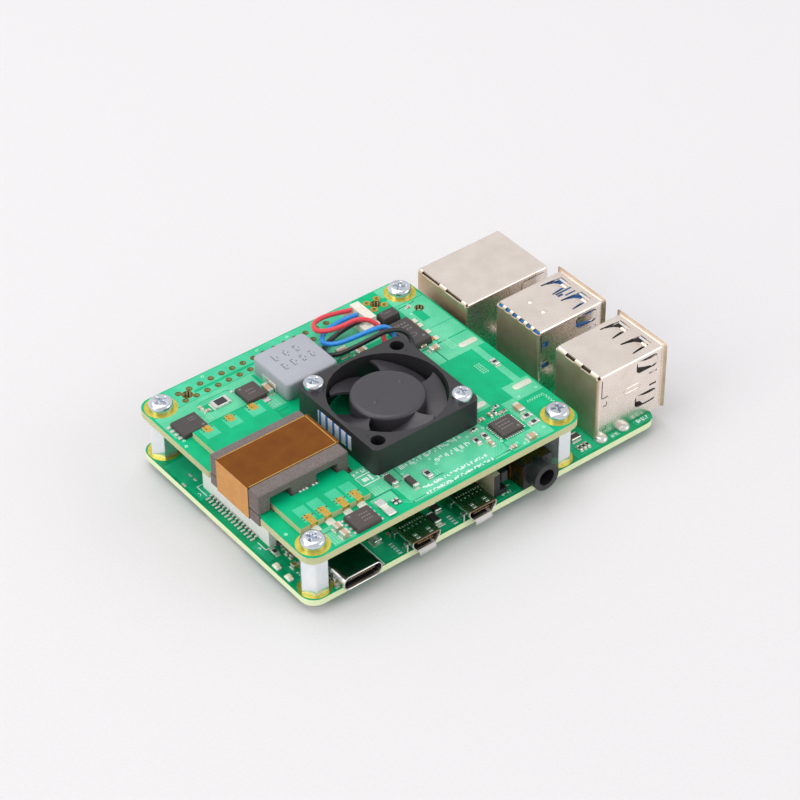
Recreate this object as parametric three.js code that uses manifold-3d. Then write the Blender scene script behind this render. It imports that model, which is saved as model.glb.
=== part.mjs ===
// A single board computer with a power-over-network board and a fan mounted above it.
// Millimetres, +Z up. The main board's corner is (0, 0, 0) while the parts are placed;
// the finished assembly is then moved so the middle of its footprint stands on the origin.

import * as THREE from 'three';
import { mergeVertices } from 'three/addons/utils/BufferGeometryUtils.js';
import Module from 'manifold-3d';

const wasm = await Module();
wasm.setup();

// Main board
const boardLength = 85;
const boardWidth = 56;
const boardThickness = 1.4;
const boardCorner = 3;
const boardEdge = 0;
const deck = boardThickness;

// Fixing holes, shared by both boards
const holeInset = 3.5;
const holePitchX = 58;
const holePitchY = 49;
const holeDiameter = 2.7;

// Standoffs and machine screws
const standoffHeight = 9.1;
const standoffAcrossFlats = 5;
const screwShank = 2.3;
const screwHead = 4.9;
const screwHeadHeight = 1.8;
const topShankLength = 5.4;
const bottomShankLength = 5;

// Power board
const powerLength = 65;
const powerWidth = 56.5;
const powerThickness = 1.58;
const powerFloor = deck + standoffHeight;
const powerDeck = powerFloor + powerThickness;
const powerOffsetY = (boardWidth - powerWidth) / 2;

// 40-way header
const pinPitch = 2.54;
const pinColumns = 20;
const headerCentreX = 32.5;
const headerCentreY = 52.5;
const headerBaseHeight = 2.54;
const pinWidth = 0.64;
const coveredColumns = [15, 16];

// Network power header, 2 by 2 pins
const powerPinX = 61.5;
const powerPinY = 46.1;

// Ports on the +X edge
const usbBack = 70.9;
const usbFront = 87.9;
const usbWidth = 13.1;
const usbHeight = 15.3;
const usbLip = 0.8;
const usbStacks = [
  { name: 'usb_fast', centreY: 27 },
  { name: 'usb_plain', centreY: 9 },
];
const ethernetBack = 66.9;
const ethernetFront = 88;
const ethernetWidth = 16;
const ethernetHeight = 13.5;
const ethernetCentreY = 45.75;
const ethernetCavity = { width: 11.8, height: 8, depth: 13, floor: 2.6 };
const sheet = 0.35;
const fitGap = 0.1;

// Ports on the -Y edge
const frontOverhang = 1.3;
const powerPort = { centreX: 11.2, width: 8.94, height: 3.2, depth: 7.35 };
const videoPort = { centresX: [26, 39.5], width: 6.6, height: 3.05, depth: 7.4 };
const audio = { centreX: 54, width: 7, depth: 12.5, height: 5.8, barrel: 6, bore: 3.6, overhang: 2.6 };

// Flat cable connectors
const flatCable = { length: 21.6, bodyWidth: 2.6, latchWidth: 1.5, bodyHeight: 5.6, latchHeight: 5.4 };
const displayX = 3.1;
const displayCentreY = 28;
const cameraX = 44.4;
const cameraCentreY = 12.4;
const cameraBodyWidth = 1.6;

// Transformer: two core halves around a flat winding board
const core = { length: 20.8, width: 15.7, centreY: 23.2, top: 16.9, floor: 9.6, plate: 1.9, leg: 2.9, centreLeg: 6 };
const tape = { width: 10.2, centreY: 23.6, thickness: 0.12 };
const winding = { x0: 3.2, x1: 19.2, y0: 6.8, y1: 41.3, thickness: 1.32 };
const slotGap = 0.45;

// Fan
const fan = { centreX: 35.9, centreY: 23.2, size: 25, height: 6.2, bore: 23.5, holePitch: 20, hole: 2.9 };
const hub = { radius: 7.3, wall: 0.8, top: 5.85, bottom: 1.2 };
const bladeCount = 5;
const bladeTipRadius = 11.35;
const bladeSweep = 0.72;
const bladeFirstAngle = 0.49;
const axleRadius = 0.75;
const fanScrewHead = 4.1;
const fanScrewLength = 8;

// Fan leads
const leadDiameter = 1;
const leadSides = 8;
const leadSteps = 26;
const plug = { x0: 48.8, x1: 50.9, y0: 46.2, y1: 52.4, floor: 13.7, top: 15.2 };
const fanHeader = { x0: 47.3, x1: 51.3, y0: 45.4, y1: 52.9 };

const roundSegments = 24;
const smallSegments = 16;

function material(colour, roughness, metalness) {
  return new THREE.MeshStandardMaterial({ color: colour, roughness, metalness });
}

const finishes = {
  mainBoard: () => material('#0f8a58', 0.35, 0),
  powerBoard: () => material('#16a673', 0.35, 0),
  nickel: () => material('#cfc4b8', 0.28, 1),
  zinc: () => material('#d5d8dc', 0.3, 1),
  gold: () => material('#c9a53a', 0.35, 1),
  steelLid: () => material('#b9bcc0', 0.3, 1),
  blackPlastic: () => material('#232326', 0.5, 0),
  fanPlastic: () => material('#2d2a2b', 0.55, 0),
  whitePlastic: () => material('#f0efe8', 0.45, 0),
  bluePlastic: () => material('#1c7fc4', 0.4, 0),
  beigePlastic: () => material('#cbb995', 0.45, 0),
  chip: () => material('#3b3c3f', 0.5, 0),
  ferrite: () => material('#7c7773', 0.6, 0),
  tape: () => material('#8a5a22', 0.2, 0),
  copper: () => material('#b5713c', 0.35, 1),
  inductor: () => material('#a9adb8', 0.5, 0),
  label: () => material('#e9eef2', 0.4, 0),
  leadRed: () => material('#d8323c', 0.4, 0),
  leadBlue: () => material('#1f74c8', 0.4, 0),
  leadBlack: () => material('#1d1b1d', 0.4, 0),
};

// Boolean helpers
function toSolid(geometry) {
  const clean = geometry.clone();
  clean.deleteAttribute('normal');
  clean.deleteAttribute('uv');
  const merged = mergeVertices(clean, 1e-4);
  const index = merged.index.array;
  return new wasm.Manifold(new wasm.Mesh({
    numProp: 3,
    vertProperties: new Float32Array(merged.attributes.position.array),
    triVerts: new Uint32Array(index),
  }));
}

function toGeometry(solid) {
  const mesh = solid.getMesh();
  const geometry = new THREE.BufferGeometry();
  geometry.setAttribute('position', new THREE.BufferAttribute(mesh.vertProperties, 3));
  geometry.setIndex(new THREE.BufferAttribute(mesh.triVerts, 1));
  const flat = geometry.toNonIndexed();
  flat.computeVertexNormals();
  return flat;
}

function join(...geometries) {
  return toGeometry(geometries.map(toSolid).reduce((whole, piece) => whole.add(piece)));
}

function cut(geometry, ...tools) {
  return toGeometry(tools.map(toSolid).reduce((whole, tool) => whole.subtract(tool), toSolid(geometry)));
}

// Shape helpers
function block(x0, x1, y0, y1, z0, z1) {
  const geometry = new THREE.BoxGeometry(x1 - x0, y1 - y0, z1 - z0);
  return geometry.translate((x0 + x1) / 2, (y0 + y1) / 2, (z0 + z1) / 2);
}

function roundedOutline(x0, x1, y0, y1, radius, segments = 4) {
  const outline = new THREE.Shape();
  const corners = [
    [x1 - radius, y0 + radius, -Math.PI / 2],
    [x1 - radius, y1 - radius, 0],
    [x0 + radius, y1 - radius, Math.PI / 2],
    [x0 + radius, y0 + radius, Math.PI],
  ];
  const points = [];
  for (const [x, y, start] of corners) {
    for (let step = 0; step <= segments; step += 1) {
      const angle = start + (step / segments) * Math.PI / 2;
      points.push(new THREE.Vector2(x + radius * Math.cos(angle), y + radius * Math.sin(angle)));
    }
  }
  outline.setFromPoints(points);
  return outline;
}

function circlePath(x, y, radius, segments) {
  const points = [];
  for (let step = 0; step < segments; step += 1) {
    const angle = -(step / segments) * Math.PI * 2;
    points.push(new THREE.Vector2(x + radius * Math.cos(angle), y + radius * Math.sin(angle)));
  }
  return new THREE.Path().setFromPoints(points);
}

function plate(outline, z0, thickness) {
  const geometry = new THREE.ExtrudeGeometry(outline, { depth: thickness, bevelEnabled: false });
  return geometry.translate(0, 0, z0);
}

function roundedBlock(x0, x1, y0, y1, z0, z1, radius) {
  return plate(roundedOutline(x0, x1, y0, y1, radius), z0, z1 - z0);
}

function upright(x, y, z0, z1, radius, segments) {
  const geometry = new THREE.CylinderGeometry(radius, radius, z1 - z0, segments);
  return geometry.rotateX(Math.PI / 2).translate(x, y, (z0 + z1) / 2);
}

// An outline drawn in X and Z, carried along +Y from y0.
function frontProfile(outline, y0, depth) {
  const geometry = new THREE.ExtrudeGeometry(outline, { depth, bevelEnabled: false });
  return geometry.rotateX(Math.PI / 2).translate(0, y0 + depth, 0);
}

const assembly = new THREE.Group();

function addPart(name, geometry, finish, place = [0, 0, 0]) {
  const mesh = new THREE.Mesh(geometry, finish());
  mesh.name = name;
  mesh.position.set(...place);
  assembly.add(mesh);
  return mesh;
}

const fixingPoints = [];
for (const y of [holeInset, holeInset + holePitchY]) {
  for (const x of [holeInset, holeInset + holePitchX]) {
    fixingPoints.push([x, y]);
  }
}

const fanHolePoints = [-1, 1].map((sign) => [
  fan.centreX + sign * fan.holePitch / 2,
  fan.centreY - sign * fan.holePitch / 2,
]);

// Boards
function mainBoard() {
  const outline = roundedOutline(boardEdge, boardLength, boardEdge, boardWidth, boardCorner, 5);
  for (const [x, y] of fixingPoints) {
    outline.holes.push(circlePath(x, y, holeDiameter / 2, smallSegments));
  }
  return plate(outline, 0, boardThickness);
}

function powerBoardOutline() {
  const slotX = core.length + slotGap;
  const slotY0 = core.centreY - core.width / 2 - slotGap;
  const slotY1 = core.centreY + core.width / 2 + slotGap;
  const points = roundedOutline(0, powerLength, powerOffsetY, powerOffsetY + powerWidth, boardCorner, 5).getPoints();
  const leftTop = points.findIndex((point) => point.x < 1e-6);
  points.splice(
    leftTop + 1,
    0,
    new THREE.Vector2(0, slotY1),
    new THREE.Vector2(slotX, slotY1),
    new THREE.Vector2(slotX, slotY0),
    new THREE.Vector2(0, slotY0),
  );
  return new THREE.Shape(points);
}

function powerBoard() {
  const outline = powerBoardOutline();
  for (const [x, y] of fixingPoints) {
    outline.holes.push(circlePath(x, y, holeDiameter / 2, smallSegments));
  }
  for (const [x, y] of fanHolePoints) {
    outline.holes.push(circlePath(x, y, holeDiameter / 2, smallSegments));
  }
  const firstX = headerCentreX - pinPitch * (pinColumns - 1) / 2;
  for (let column = 0; column < pinColumns; column += 1) {
    if (coveredColumns.includes(column)) {
      continue;
    }
    for (const side of [-1, 1]) {
      const x = firstX + column * pinPitch;
      outline.holes.push(circlePath(x, headerCentreY + side * pinPitch / 2, 0.45, 6));
    }
  }
  for (const [x, y] of [[firstX + pinPitch / 2, headerCentreY], [firstX + pinPitch * 18.5, headerCentreY]]) {
    outline.holes.push(circlePath(x, y, 0.9, 8));
  }
  outline.holes.push(circlePath(powerPinX, powerPinY, 0.9, 8));
  return plate(outline, powerFloor, powerThickness);
}

// Standoffs and screws
function standoff() {
  const radius = standoffAcrossFlats / 2 / Math.cos(Math.PI / 6);
  const hexagon = circlePath(0, 0, radius, 6).getPoints().reverse();
  const outline = new THREE.Shape(hexagon);
  outline.holes.push(circlePath(0, 0, screwShank / 2 + 0.1, 12));
  return plate(outline, 0, standoffHeight);
}

// A pan head on a plain shank: the seat of the head is at z = 0 and the shank points down.
function screw(headDiameter, shankLength, headHeight = screwHeadHeight) {
  const r = headDiameter / 2;
  const s = screwShank / 2;
  const profile = [
    [0, -shankLength],
    [s - 0.25, -shankLength],
    [s, -shankLength + 0.25],
    [s, 0],
    [r, 0],
    [r, headHeight * 0.35],
    [r * 0.8, headHeight * 0.82],
    [r * 0.45, headHeight],
    [0, headHeight],
  ].map(([x, z]) => new THREE.Vector2(x, z));
  return new THREE.LatheGeometry(profile, smallSegments).rotateX(Math.PI / 2);
}

// Ports
function usbShell(centreY) {
  const y0 = centreY - usbWidth / 2;
  const y1 = centreY + usbWidth / 2;
  const top = deck + usbHeight;
  const body = block(usbBack, usbFront, y0, y1, deck, top);
  const lip = block(usbFront - sheet, usbFront, y0 - usbLip, y1 + usbLip, deck + 1.6, top + usbLip);
  const hollow = block(usbBack + sheet, usbFront + 1, y0 + sheet, y1 - sheet, deck - 1, top - sheet);
  const windows = [];
  for (const side of [-1, 1]) {
    const x = centreY + side * usbWidth * 0.22;
    windows.push(block(usbFront - 7, usbFront - 1.6, x - 1.1, x + 1.1, top - 1, top + 1));
  }
  for (const z of [deck + 3.2, deck + 9.6]) {
    windows.push(block(usbFront - 5.6, usbFront - 1.6, y0 - 1, y1 + 1, z, z + 2.2));
  }
  return cut(join(body, lip), hollow, ...windows);
}

// Back wall, middle bar and two contact tongues.
function usbInsert(centreY) {
  const halfWidth = usbWidth / 2 - sheet - fitGap;
  const back = usbBack + sheet + fitGap;
  const wall = block(back, back + 3.2, centreY - halfWidth, centreY + halfWidth, deck, deck + usbHeight - sheet - fitGap);
  const bar = block(back + 3, usbFront - 0.6, centreY - halfWidth, centreY + halfWidth, deck + 7, deck + 8.6);
  const floor = block(back + 3, usbFront - 3, centreY - halfWidth, centreY + halfWidth, deck, deck + 0.8);
  const tongues = [deck + 3.8, deck + 12].map((z) => (
    block(back + 3, usbFront - 1.2, centreY - 5.6, centreY + 5.6, z, z + 1.9)
  ));
  return join(wall, bar, floor, ...tongues);
}

function ethernetShell() {
  const y0 = ethernetCentreY - ethernetWidth / 2;
  const y1 = ethernetCentreY + ethernetWidth / 2;
  const top = deck + ethernetHeight;
  const body = block(ethernetBack, ethernetFront, y0, y1, deck, top);
  const hollow = block(ethernetBack + sheet, ethernetFront - sheet, y0 + sheet, y1 - sheet, deck - 1, top - sheet);
  const mouth = block(
    ethernetFront - 1,
    ethernetFront + 1,
    ethernetCentreY - ethernetCavity.width / 2 - 0.6,
    ethernetCentreY + ethernetCavity.width / 2 + 0.6,
    deck + 1,
    top - 2,
  );
  return cut(body, hollow, mouth);
}

function ethernetInsert() {
  const halfWidth = ethernetWidth / 2 - sheet - fitGap;
  const back = ethernetBack + sheet + fitGap;
  const front = ethernetFront - sheet - fitGap;
  const top = deck + ethernetHeight - sheet - fitGap;
  const body = block(back, front, ethernetCentreY - halfWidth, ethernetCentreY + halfWidth, deck, top);
  const floor = deck + ethernetCavity.floor;
  const cavity = block(
    front - ethernetCavity.depth,
    front + 1,
    ethernetCentreY - ethernetCavity.width / 2,
    ethernetCentreY + ethernetCavity.width / 2,
    floor,
    floor + ethernetCavity.height,
  );
  const latchWay = block(front - 9, front + 1, ethernetCentreY - 3, ethernetCentreY + 3, floor - 1.4, floor + 1);
  return cut(body, cavity, latchWay);
}

function powerPortShell() {
  const { centreX, width, height, depth } = powerPort;
  const outer = roundedOutline(centreX - width / 2, centreX + width / 2, deck, deck + height, height / 2 - 0.02, 5);
  const inner = roundedOutline(
    centreX - width / 2 + sheet,
    centreX + width / 2 - sheet,
    deck + sheet,
    deck + height - sheet,
    height / 2 - sheet - 0.02,
    5,
  );
  const body = frontProfile(outer, -frontOverhang, depth);
  return cut(body, frontProfile(inner, -frontOverhang - 1, depth + 1 - sheet));
}

function powerPortTongue() {
  const { centreX, width, height, depth } = powerPort;
  const margin = sheet + fitGap;
  const middle = deck + height / 2;
  const rear = -frontOverhang + depth - margin;
  const wall = block(centreX - width / 2 + 1.6, centreX + width / 2 - 1.6, rear - 1.4, rear, deck + margin, deck + height - margin);
  const tongue = block(centreX - 3.35, centreX + 3.35, -frontOverhang + 0.9, rear - 1.2, middle - 0.35, middle + 0.35);
  return join(wall, tongue);
}

function videoOutline(centreX, margin) {
  const { width, height } = videoPort;
  const half = width / 2 - margin;
  return new THREE.Shape([
    [centreX - half + 1.1, deck + margin],
    [centreX + half - 1.1, deck + margin],
    [centreX + half, deck + 1.2 + margin * 0.4],
    [centreX + half, deck + height - margin],
    [centreX - half, deck + height - margin],
    [centreX - half, deck + 1.2 + margin * 0.4],
  ].map(([x, z]) => new THREE.Vector2(x, z)));
}

function videoShell(centreX) {
  const body = frontProfile(videoOutline(centreX, 0), -frontOverhang, videoPort.depth);
  return cut(body, frontProfile(videoOutline(centreX, sheet), -frontOverhang - 1, videoPort.depth + 1 - sheet));
}

function videoTongue(centreX) {
  const margin = sheet + fitGap;
  const rear = -frontOverhang + videoPort.depth - margin;
  const top = deck + videoPort.height - margin;
  const wall = block(centreX - 1.7, centreX + 1.7, rear - 1.2, rear, deck + margin, top);
  const tongue = block(centreX - 1.7, centreX + 1.7, -frontOverhang + 0.8, rear - 1, deck + 1.3, deck + 1.95);
  return join(wall, tongue);
}

function audioJack() {
  const { centreX, width, depth, height, barrel, bore, overhang } = audio;
  const axisZ = deck + barrel / 2 + 0.05;
  const along = (radius, y0, y1, segments) => (
    new THREE.CylinderGeometry(radius, radius, y1 - y0, segments).translate(centreX, (y0 + y1) / 2, axisZ)
  );
  const body = block(centreX - width / 2, centreX + width / 2, 0.1, depth, deck, deck + height);
  return cut(join(body, along(barrel / 2, -overhang, 1, roundSegments)), along(bore / 2, -overhang - 1, depth - 3, smallSegments));
}

// A flat cable connector standing along Y with its slot open upwards.
function flatCableBody(x, centreY, bodyWidth) {
  const { length, latchWidth, bodyHeight } = flatCable;
  const y0 = centreY - length / 2;
  const y1 = centreY + length / 2;
  const wall = block(x, x + bodyWidth, y0, y1, deck, deck + bodyHeight);
  const shelf = block(x, x + bodyWidth + latchWidth + 0.3, y0, y1, deck, deck + 1.2);
  const slot = block(x + bodyWidth - 0.8, x + bodyWidth + 1, y0 + 2.2, y1 - 2.2, deck + 1.8, deck + bodyHeight + 1);
  return cut(join(wall, shelf), slot);
}

function flatCableLatch(x, centreY, bodyWidth) {
  const { length, latchWidth, latchHeight } = flatCable;
  const x0 = x + bodyWidth + 0.3;
  const half = length / 2;
  const bar = block(x0, x0 + latchWidth, centreY - half, centreY + half, deck + 3.2, deck + latchHeight);
  const tongue = block(x0, x0 + 0.8, centreY - half + 2.6, centreY + half - 2.6, deck + 1.8, deck + 3.4);
  return join(bar, tongue);
}

// Board-to-board headers
function header(centreX, centreY, columns, pinTop) {
  const halfX = columns * pinPitch / 2;
  const base = block(centreX - halfX, centreX + halfX, centreY - pinPitch, centreY + pinPitch, deck, deck + headerBaseHeight);
  const pins = [];
  for (let column = 0; column < columns; column += 1) {
    for (const side of [-1, 1]) {
      const x = centreX + (column - (columns - 1) / 2) * pinPitch;
      const y = centreY + side * pinPitch / 2;
      const half = pinWidth / 2;
      pins.push(block(x - half, x + half, y - half, y + half, deck + headerBaseHeight / 2, pinTop));
    }
  }
  return join(base, ...pins);
}

function socket(centreX, centreY, columns) {
  const halfX = columns * pinPitch / 2;
  const body = block(centreX - halfX, centreX + halfX, centreY - pinPitch, centreY + pinPitch, deck + headerBaseHeight, powerFloor);
  const slots = [-1, 1].map((side) => {
    const y = centreY + side * pinPitch / 2;
    return block(centreX - halfX + 0.5, centreX + halfX - 0.5, y - 0.6, y + 0.6, deck, powerFloor - 0.8);
  });
  return cut(body, ...slots);
}

// Transformer
function coreUpper() {
  const y0 = core.centreY - core.width / 2;
  const y1 = core.centreY + core.width / 2;
  const middle = core.length / 2;
  const plateBlock = block(0, core.length, y0, y1, core.top - core.plate, core.top);
  const legs = [
    block(0, core.leg, y0, y1, powerDeck, core.top - 0.5),
    block(core.length - core.leg, core.length, y0, y1, powerDeck, core.top - 0.5),
    block(middle - core.centreLeg / 2, middle + core.centreLeg / 2, y0, y1, powerDeck, core.top - 0.5),
  ];
  return join(plateBlock, ...legs);
}

function coreLower() {
  const half = core.width / 2;
  return block(0, core.length, core.centreY - half, core.centreY + half, core.floor, powerDeck);
}

function coreTape() {
  const t = tape.thickness;
  const ring = new THREE.Shape([
    [-t, core.floor - t],
    [core.length + t, core.floor - t],
    [core.length + t, core.top + t],
    [-t, core.top + t],
  ].map(([x, z]) => new THREE.Vector2(x, z)));
  ring.holes.push(new THREE.Path([
    [0, core.floor],
    [0, core.top],
    [core.length, core.top],
    [core.length, core.floor],
  ].map(([x, z]) => new THREE.Vector2(x, z))));
  return frontProfile(ring, tape.centreY - tape.width / 2, tape.width);
}

function windingBoard() {
  const { x0, x1, y0, y1, thickness } = winding;
  const board = block(x0, x1, y0, y1, powerDeck, powerDeck + thickness);
  const middle = core.length / 2;
  const halfLeg = core.centreLeg / 2 + 0.2;
  const half = core.width / 2 + 0.2;
  const window = block(middle - halfLeg, middle + halfLeg, core.centreY - half, core.centreY + half, powerDeck - 1, powerDeck + 3);
  const legX = core.length - core.leg - 0.3;
  const notch = block(legX, x1 + 1, core.centreY - half, core.centreY + half, powerDeck - 1, powerDeck + 3);
  return cut(board, window, notch);
}

// Fan
function fanFrame() {
  const half = fan.size / 2;
  const outline = roundedOutline(-half, half, -half, half, 1.4);
  outline.holes.push(circlePath(0, 0, fan.bore / 2, 32));
  for (const x of [-1, 1]) {
    for (const y of [-1, 1]) {
      outline.holes.push(circlePath(x * fan.holePitch / 2, y * fan.holePitch / 2, fan.hole / 2, 12));
    }
  }
  const strutHalf = 0.9;
  const struts = [0, 1, 2].map((i) => (
    block(5, fan.bore / 2 + 0.4, -strutHalf, strutHalf, 0, 0.9).rotateZ(Math.PI / 2 + i * Math.PI * 2 / 3)
  ));
  const base = upright(0, 0, 0, 0.9, 6.6, roundSegments);
  const bearing = upright(0, 0, 0, 4.6, 1.9, 12);
  const axleWay = upright(0, 0, 0.5, 6, axleRadius + 0.15, 12);
  return cut(join(plate(outline, 0, fan.height), base, bearing, ...struts), axleWay);
}

function fanStator() {
  const ring = new THREE.Shape(circlePath(0, 0, 5.7, 12).getPoints().reverse());
  ring.holes.push(circlePath(0, 0, 2, 12));
  return plate(ring, 0.95, 3.2);
}

// One blade: its chord turns with radius and drops from the leading to the trailing edge.
function fanBlade(angle) {
  const points = [];
  const radii = [hub.radius - 0.4, 9.3, bladeTipRadius];
  const chord = [0.62, 0.68, 0.74];
  const thickness = 0.5;
  for (let i = 0; i < radii.length; i += 1) {
    const sweep = angle + bladeSweep * i / 4;
    for (const [end, z] of [[0, 4.9], [1, 1.6]]) {
      const a = sweep + chord[i] * end;
      for (const lift of [0, thickness]) {
        points.push(radii[i] * Math.cos(a), radii[i] * Math.sin(a), z + lift);
      }
    }
  }
  const faces = [];
  const quad = (a, b, c, d) => faces.push(a, b, c, a, c, d);
  for (let i = 0; i < radii.length - 1; i += 1) {
    const n = i * 4;
    quad(n, n + 4, n + 6, n + 2);
    quad(n + 1, n + 3, n + 7, n + 5);
    quad(n, n + 1, n + 5, n + 4);
    quad(n + 2, n + 6, n + 7, n + 3);
  }
  quad(0, 2, 3, 1);
  const last = (radii.length - 1) * 4;
  quad(last, last + 1, last + 3, last + 2);
  const geometry = new THREE.BufferGeometry();
  geometry.setAttribute('position', new THREE.Float32BufferAttribute(points, 3));
  geometry.setIndex(faces);
  const flipped = geometry.clone();
  const index = geometry.index.array;
  for (let i = 0; i < index.length; i += 3) {
    flipped.index.array[i + 1] = index[i + 2];
    flipped.index.array[i + 2] = index[i + 1];
  }
  return flipped;
}

function fanRotor() {
  const cup = upright(0, 0, hub.bottom, hub.top, hub.radius, 32);
  const inside = upright(0, 0, hub.bottom - 1, hub.top - hub.wall, hub.radius - hub.wall, roundSegments);
  const axle = upright(0, 0, 0.7, hub.top - 0.2, axleRadius, 12);
  const blades = [];
  for (let i = 0; i < bladeCount; i += 1) {
    blades.push(fanBlade(bladeFirstAngle + i * Math.PI * 2 / bladeCount));
  }
  return join(cut(join(cup, ...blades), inside), axle);
}

// Fan leads, from the frame's corner up and over to the plug
const leadRoutes = {
  red: [
    [46.0, 36.0, 13.3], [46.7, 37.7, 13.5], [47.7, 39.6, 14.6], [48.2, 41.6, 16.2], [47.2, 43.5, 17.4],
    [44.9, 44.9, 17.8], [42.2, 45.9, 17.0], [40.0, 47.6, 15.9], [38.8, 49.9, 15.1], [39.8, 52.2, 14.7],
    [42.4, 53.1, 14.5], [45.5, 52.5, 14.5], [48.5, 51.5, 14.5],
  ],
  blue: [
    [47.4, 36.0, 13.3], [48.7, 37.4, 13.4], [49.8, 38.8, 14.3], [49.9, 40.0, 15.7], [48.5, 40.7, 16.9],
    [45.4, 41.2, 17.1], [42.0, 42.5, 16.1], [39.5, 44.1, 15.1], [38.1, 46.4, 14.4], [39.4, 48.8, 14.0],
    [42.1, 49.9, 14.1], [45.3, 50.1, 14.3], [48.5, 49.6, 14.5],
  ],
  black: [
    [48.7, 33.6, 13.3], [50.5, 34.3, 13.5], [51.7, 35.7, 14.2], [51.8, 37.2, 15.5], [50.4, 38.3, 16.7],
    [47.6, 39.0, 17.2], [44.3, 39.8, 16.4], [41.1, 41.0, 15.1], [38.5, 42.5, 13.9], [37.2, 44.7, 13.1],
    [38.5, 47.0, 12.8], [41.3, 48.0, 13.1], [44.9, 48.1, 13.9], [48.5, 47.7, 14.5],
  ],
};

function lead(points) {
  const curve = new THREE.CatmullRomCurve3(points.map((point) => new THREE.Vector3(...point)), false, 'centripetal');
  const section = new THREE.Shape(circlePath(0, 0, leadDiameter / 2, leadSides).getPoints().reverse());
  return new THREE.ExtrudeGeometry(section, { steps: leadSteps, extrudePath: curve, bevelEnabled: false });
}

// Build
addPart('main_board', mainBoard(), finishes.mainBoard);
addPart('power_board', powerBoard(), finishes.powerBoard);

for (const { name, centreY } of usbStacks) {
  addPart(`${name}_shell`, usbShell(centreY), finishes.nickel);
  addPart(`${name}_insert`, usbInsert(centreY), name === 'usb_fast' ? finishes.bluePlastic : finishes.blackPlastic);
}
addPart('ethernet_shell', ethernetShell(), finishes.nickel);
addPart('ethernet_insert', ethernetInsert(), finishes.blackPlastic);
addPart('power_port_shell', powerPortShell(), finishes.nickel);
addPart('power_port_tongue', powerPortTongue(), finishes.blackPlastic);
videoPort.centresX.forEach((centreX, i) => {
  addPart(`video_port_${i + 1}_shell`, videoShell(centreX), finishes.nickel);
  addPart(`video_port_${i + 1}_tongue`, videoTongue(centreX), finishes.blackPlastic);
});
addPart('audio_jack', audioJack(), finishes.blackPlastic);

addPart('display_connector', flatCableBody(displayX, displayCentreY, flatCable.bodyWidth), finishes.whitePlastic);
addPart('display_latch', flatCableLatch(displayX, displayCentreY, flatCable.bodyWidth), finishes.blackPlastic);
addPart('camera_connector', flatCableBody(cameraX, cameraCentreY, cameraBodyWidth), finishes.beigePlastic);
addPart('camera_latch', flatCableLatch(cameraX, cameraCentreY, cameraBodyWidth), finishes.blackPlastic);

addPart('pin_header', header(headerCentreX, headerCentreY, pinColumns, powerFloor - 1.2), finishes.blackPlastic);
addPart('pin_socket', socket(headerCentreX, headerCentreY, pinColumns), finishes.blackPlastic);
addPart('power_header', header(powerPinX, powerPinY, 2, powerFloor - 1.2), finishes.blackPlastic);
addPart('power_socket', socket(powerPinX, powerPinY, 2), finishes.blackPlastic);

addPart('processor', block(22.2, 36.8, 25.4, 40, deck, deck + 1.4), finishes.steelLid);
addPart('memory_chip', block(39.6, 50.4, 27.2, 41.2, deck, deck + 0.9), finishes.chip);
addPart('wireless_shield', roundedBlock(8.6, 20.6, 40.2, 48.8, deck, deck + 1.6, 0.6), finishes.steelLid);
addPart('card_slot', block(0.6, 12.8, 21.8, 34.2, -1.35, 0), finishes.nickel);

fixingPoints.forEach(([x, y], i) => {
  addPart(`standoff_${i + 1}`, standoff(), finishes.zinc, [x, y, deck]);
  addPart(`top_screw_${i + 1}`, screw(screwHead, topShankLength), finishes.zinc, [x, y, powerDeck]);
  const foot = addPart(`bottom_screw_${i + 1}`, screw(screwHead, bottomShankLength), finishes.zinc, [x, y, 0]);
  foot.rotation.x = Math.PI;
});

addPart('core_upper', coreUpper(), finishes.ferrite);
addPart('core_lower', coreLower(), finishes.ferrite);
addPart('core_tape', coreTape(), finishes.tape);
addPart('winding_board', windingBoard(), finishes.powerBoard);
addPart('inductor', roundedBlock(23.5, 35.8, 38.5, 50.3, powerDeck, powerDeck + 4, 1), finishes.inductor);

addPart('power_chip_1', block(1.6, 7.3, 41.7, 46.7, powerDeck, powerDeck + 1), finishes.chip);
addPart('power_chip_2', block(17, 21.5, 42.4, 47.3, powerDeck, powerDeck + 1), finishes.chip);
addPart('power_chip_3', block(11.5, 17, 0.4, 5.1, powerDeck, powerDeck + 1), finishes.chip);
addPart('controller_chip', block(48.9, 54.3, 4.4, 9.1, powerDeck, powerDeck + 0.8), finishes.chip);
addPart('rectifier', block(51.4, 56.6, 35.6, 44, powerDeck, powerDeck + 1.7), finishes.chip);

addPart('fan_frame', fanFrame(), finishes.fanPlastic, [fan.centreX, fan.centreY, powerDeck]);
addPart('fan_stator', fanStator(), finishes.copper, [fan.centreX, fan.centreY, powerDeck]);
addPart('fan_rotor', fanRotor(), finishes.fanPlastic, [fan.centreX, fan.centreY, powerDeck]);
const frameSide = fan.centreX - fan.size / 2;
addPart('fan_label', block(frameSide - 0.1, frameSide, 18.2, 28.5, powerDeck + 1.6, powerDeck + 4.85), finishes.label);
fanHolePoints.forEach(([x, y], i) => {
  addPart(`fan_screw_${i + 1}`, screw(fanScrewHead, fanScrewLength, 1.5), finishes.zinc, [x, y, powerDeck + fan.height]);
});

addPart('lead_red', lead(leadRoutes.red), finishes.leadRed);
addPart('lead_blue', lead(leadRoutes.blue), finishes.leadBlue);
addPart('lead_black', lead(leadRoutes.black), finishes.leadBlack);
addPart('fan_plug', block(plug.x0, plug.x1, plug.y0, plug.y1, plug.floor, plug.top), finishes.whitePlastic);
addPart(
  'fan_header',
  block(fanHeader.x0, fanHeader.x1, fanHeader.y0, fanHeader.y1, powerDeck, plug.floor),
  finishes.whitePlastic,
);

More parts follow.
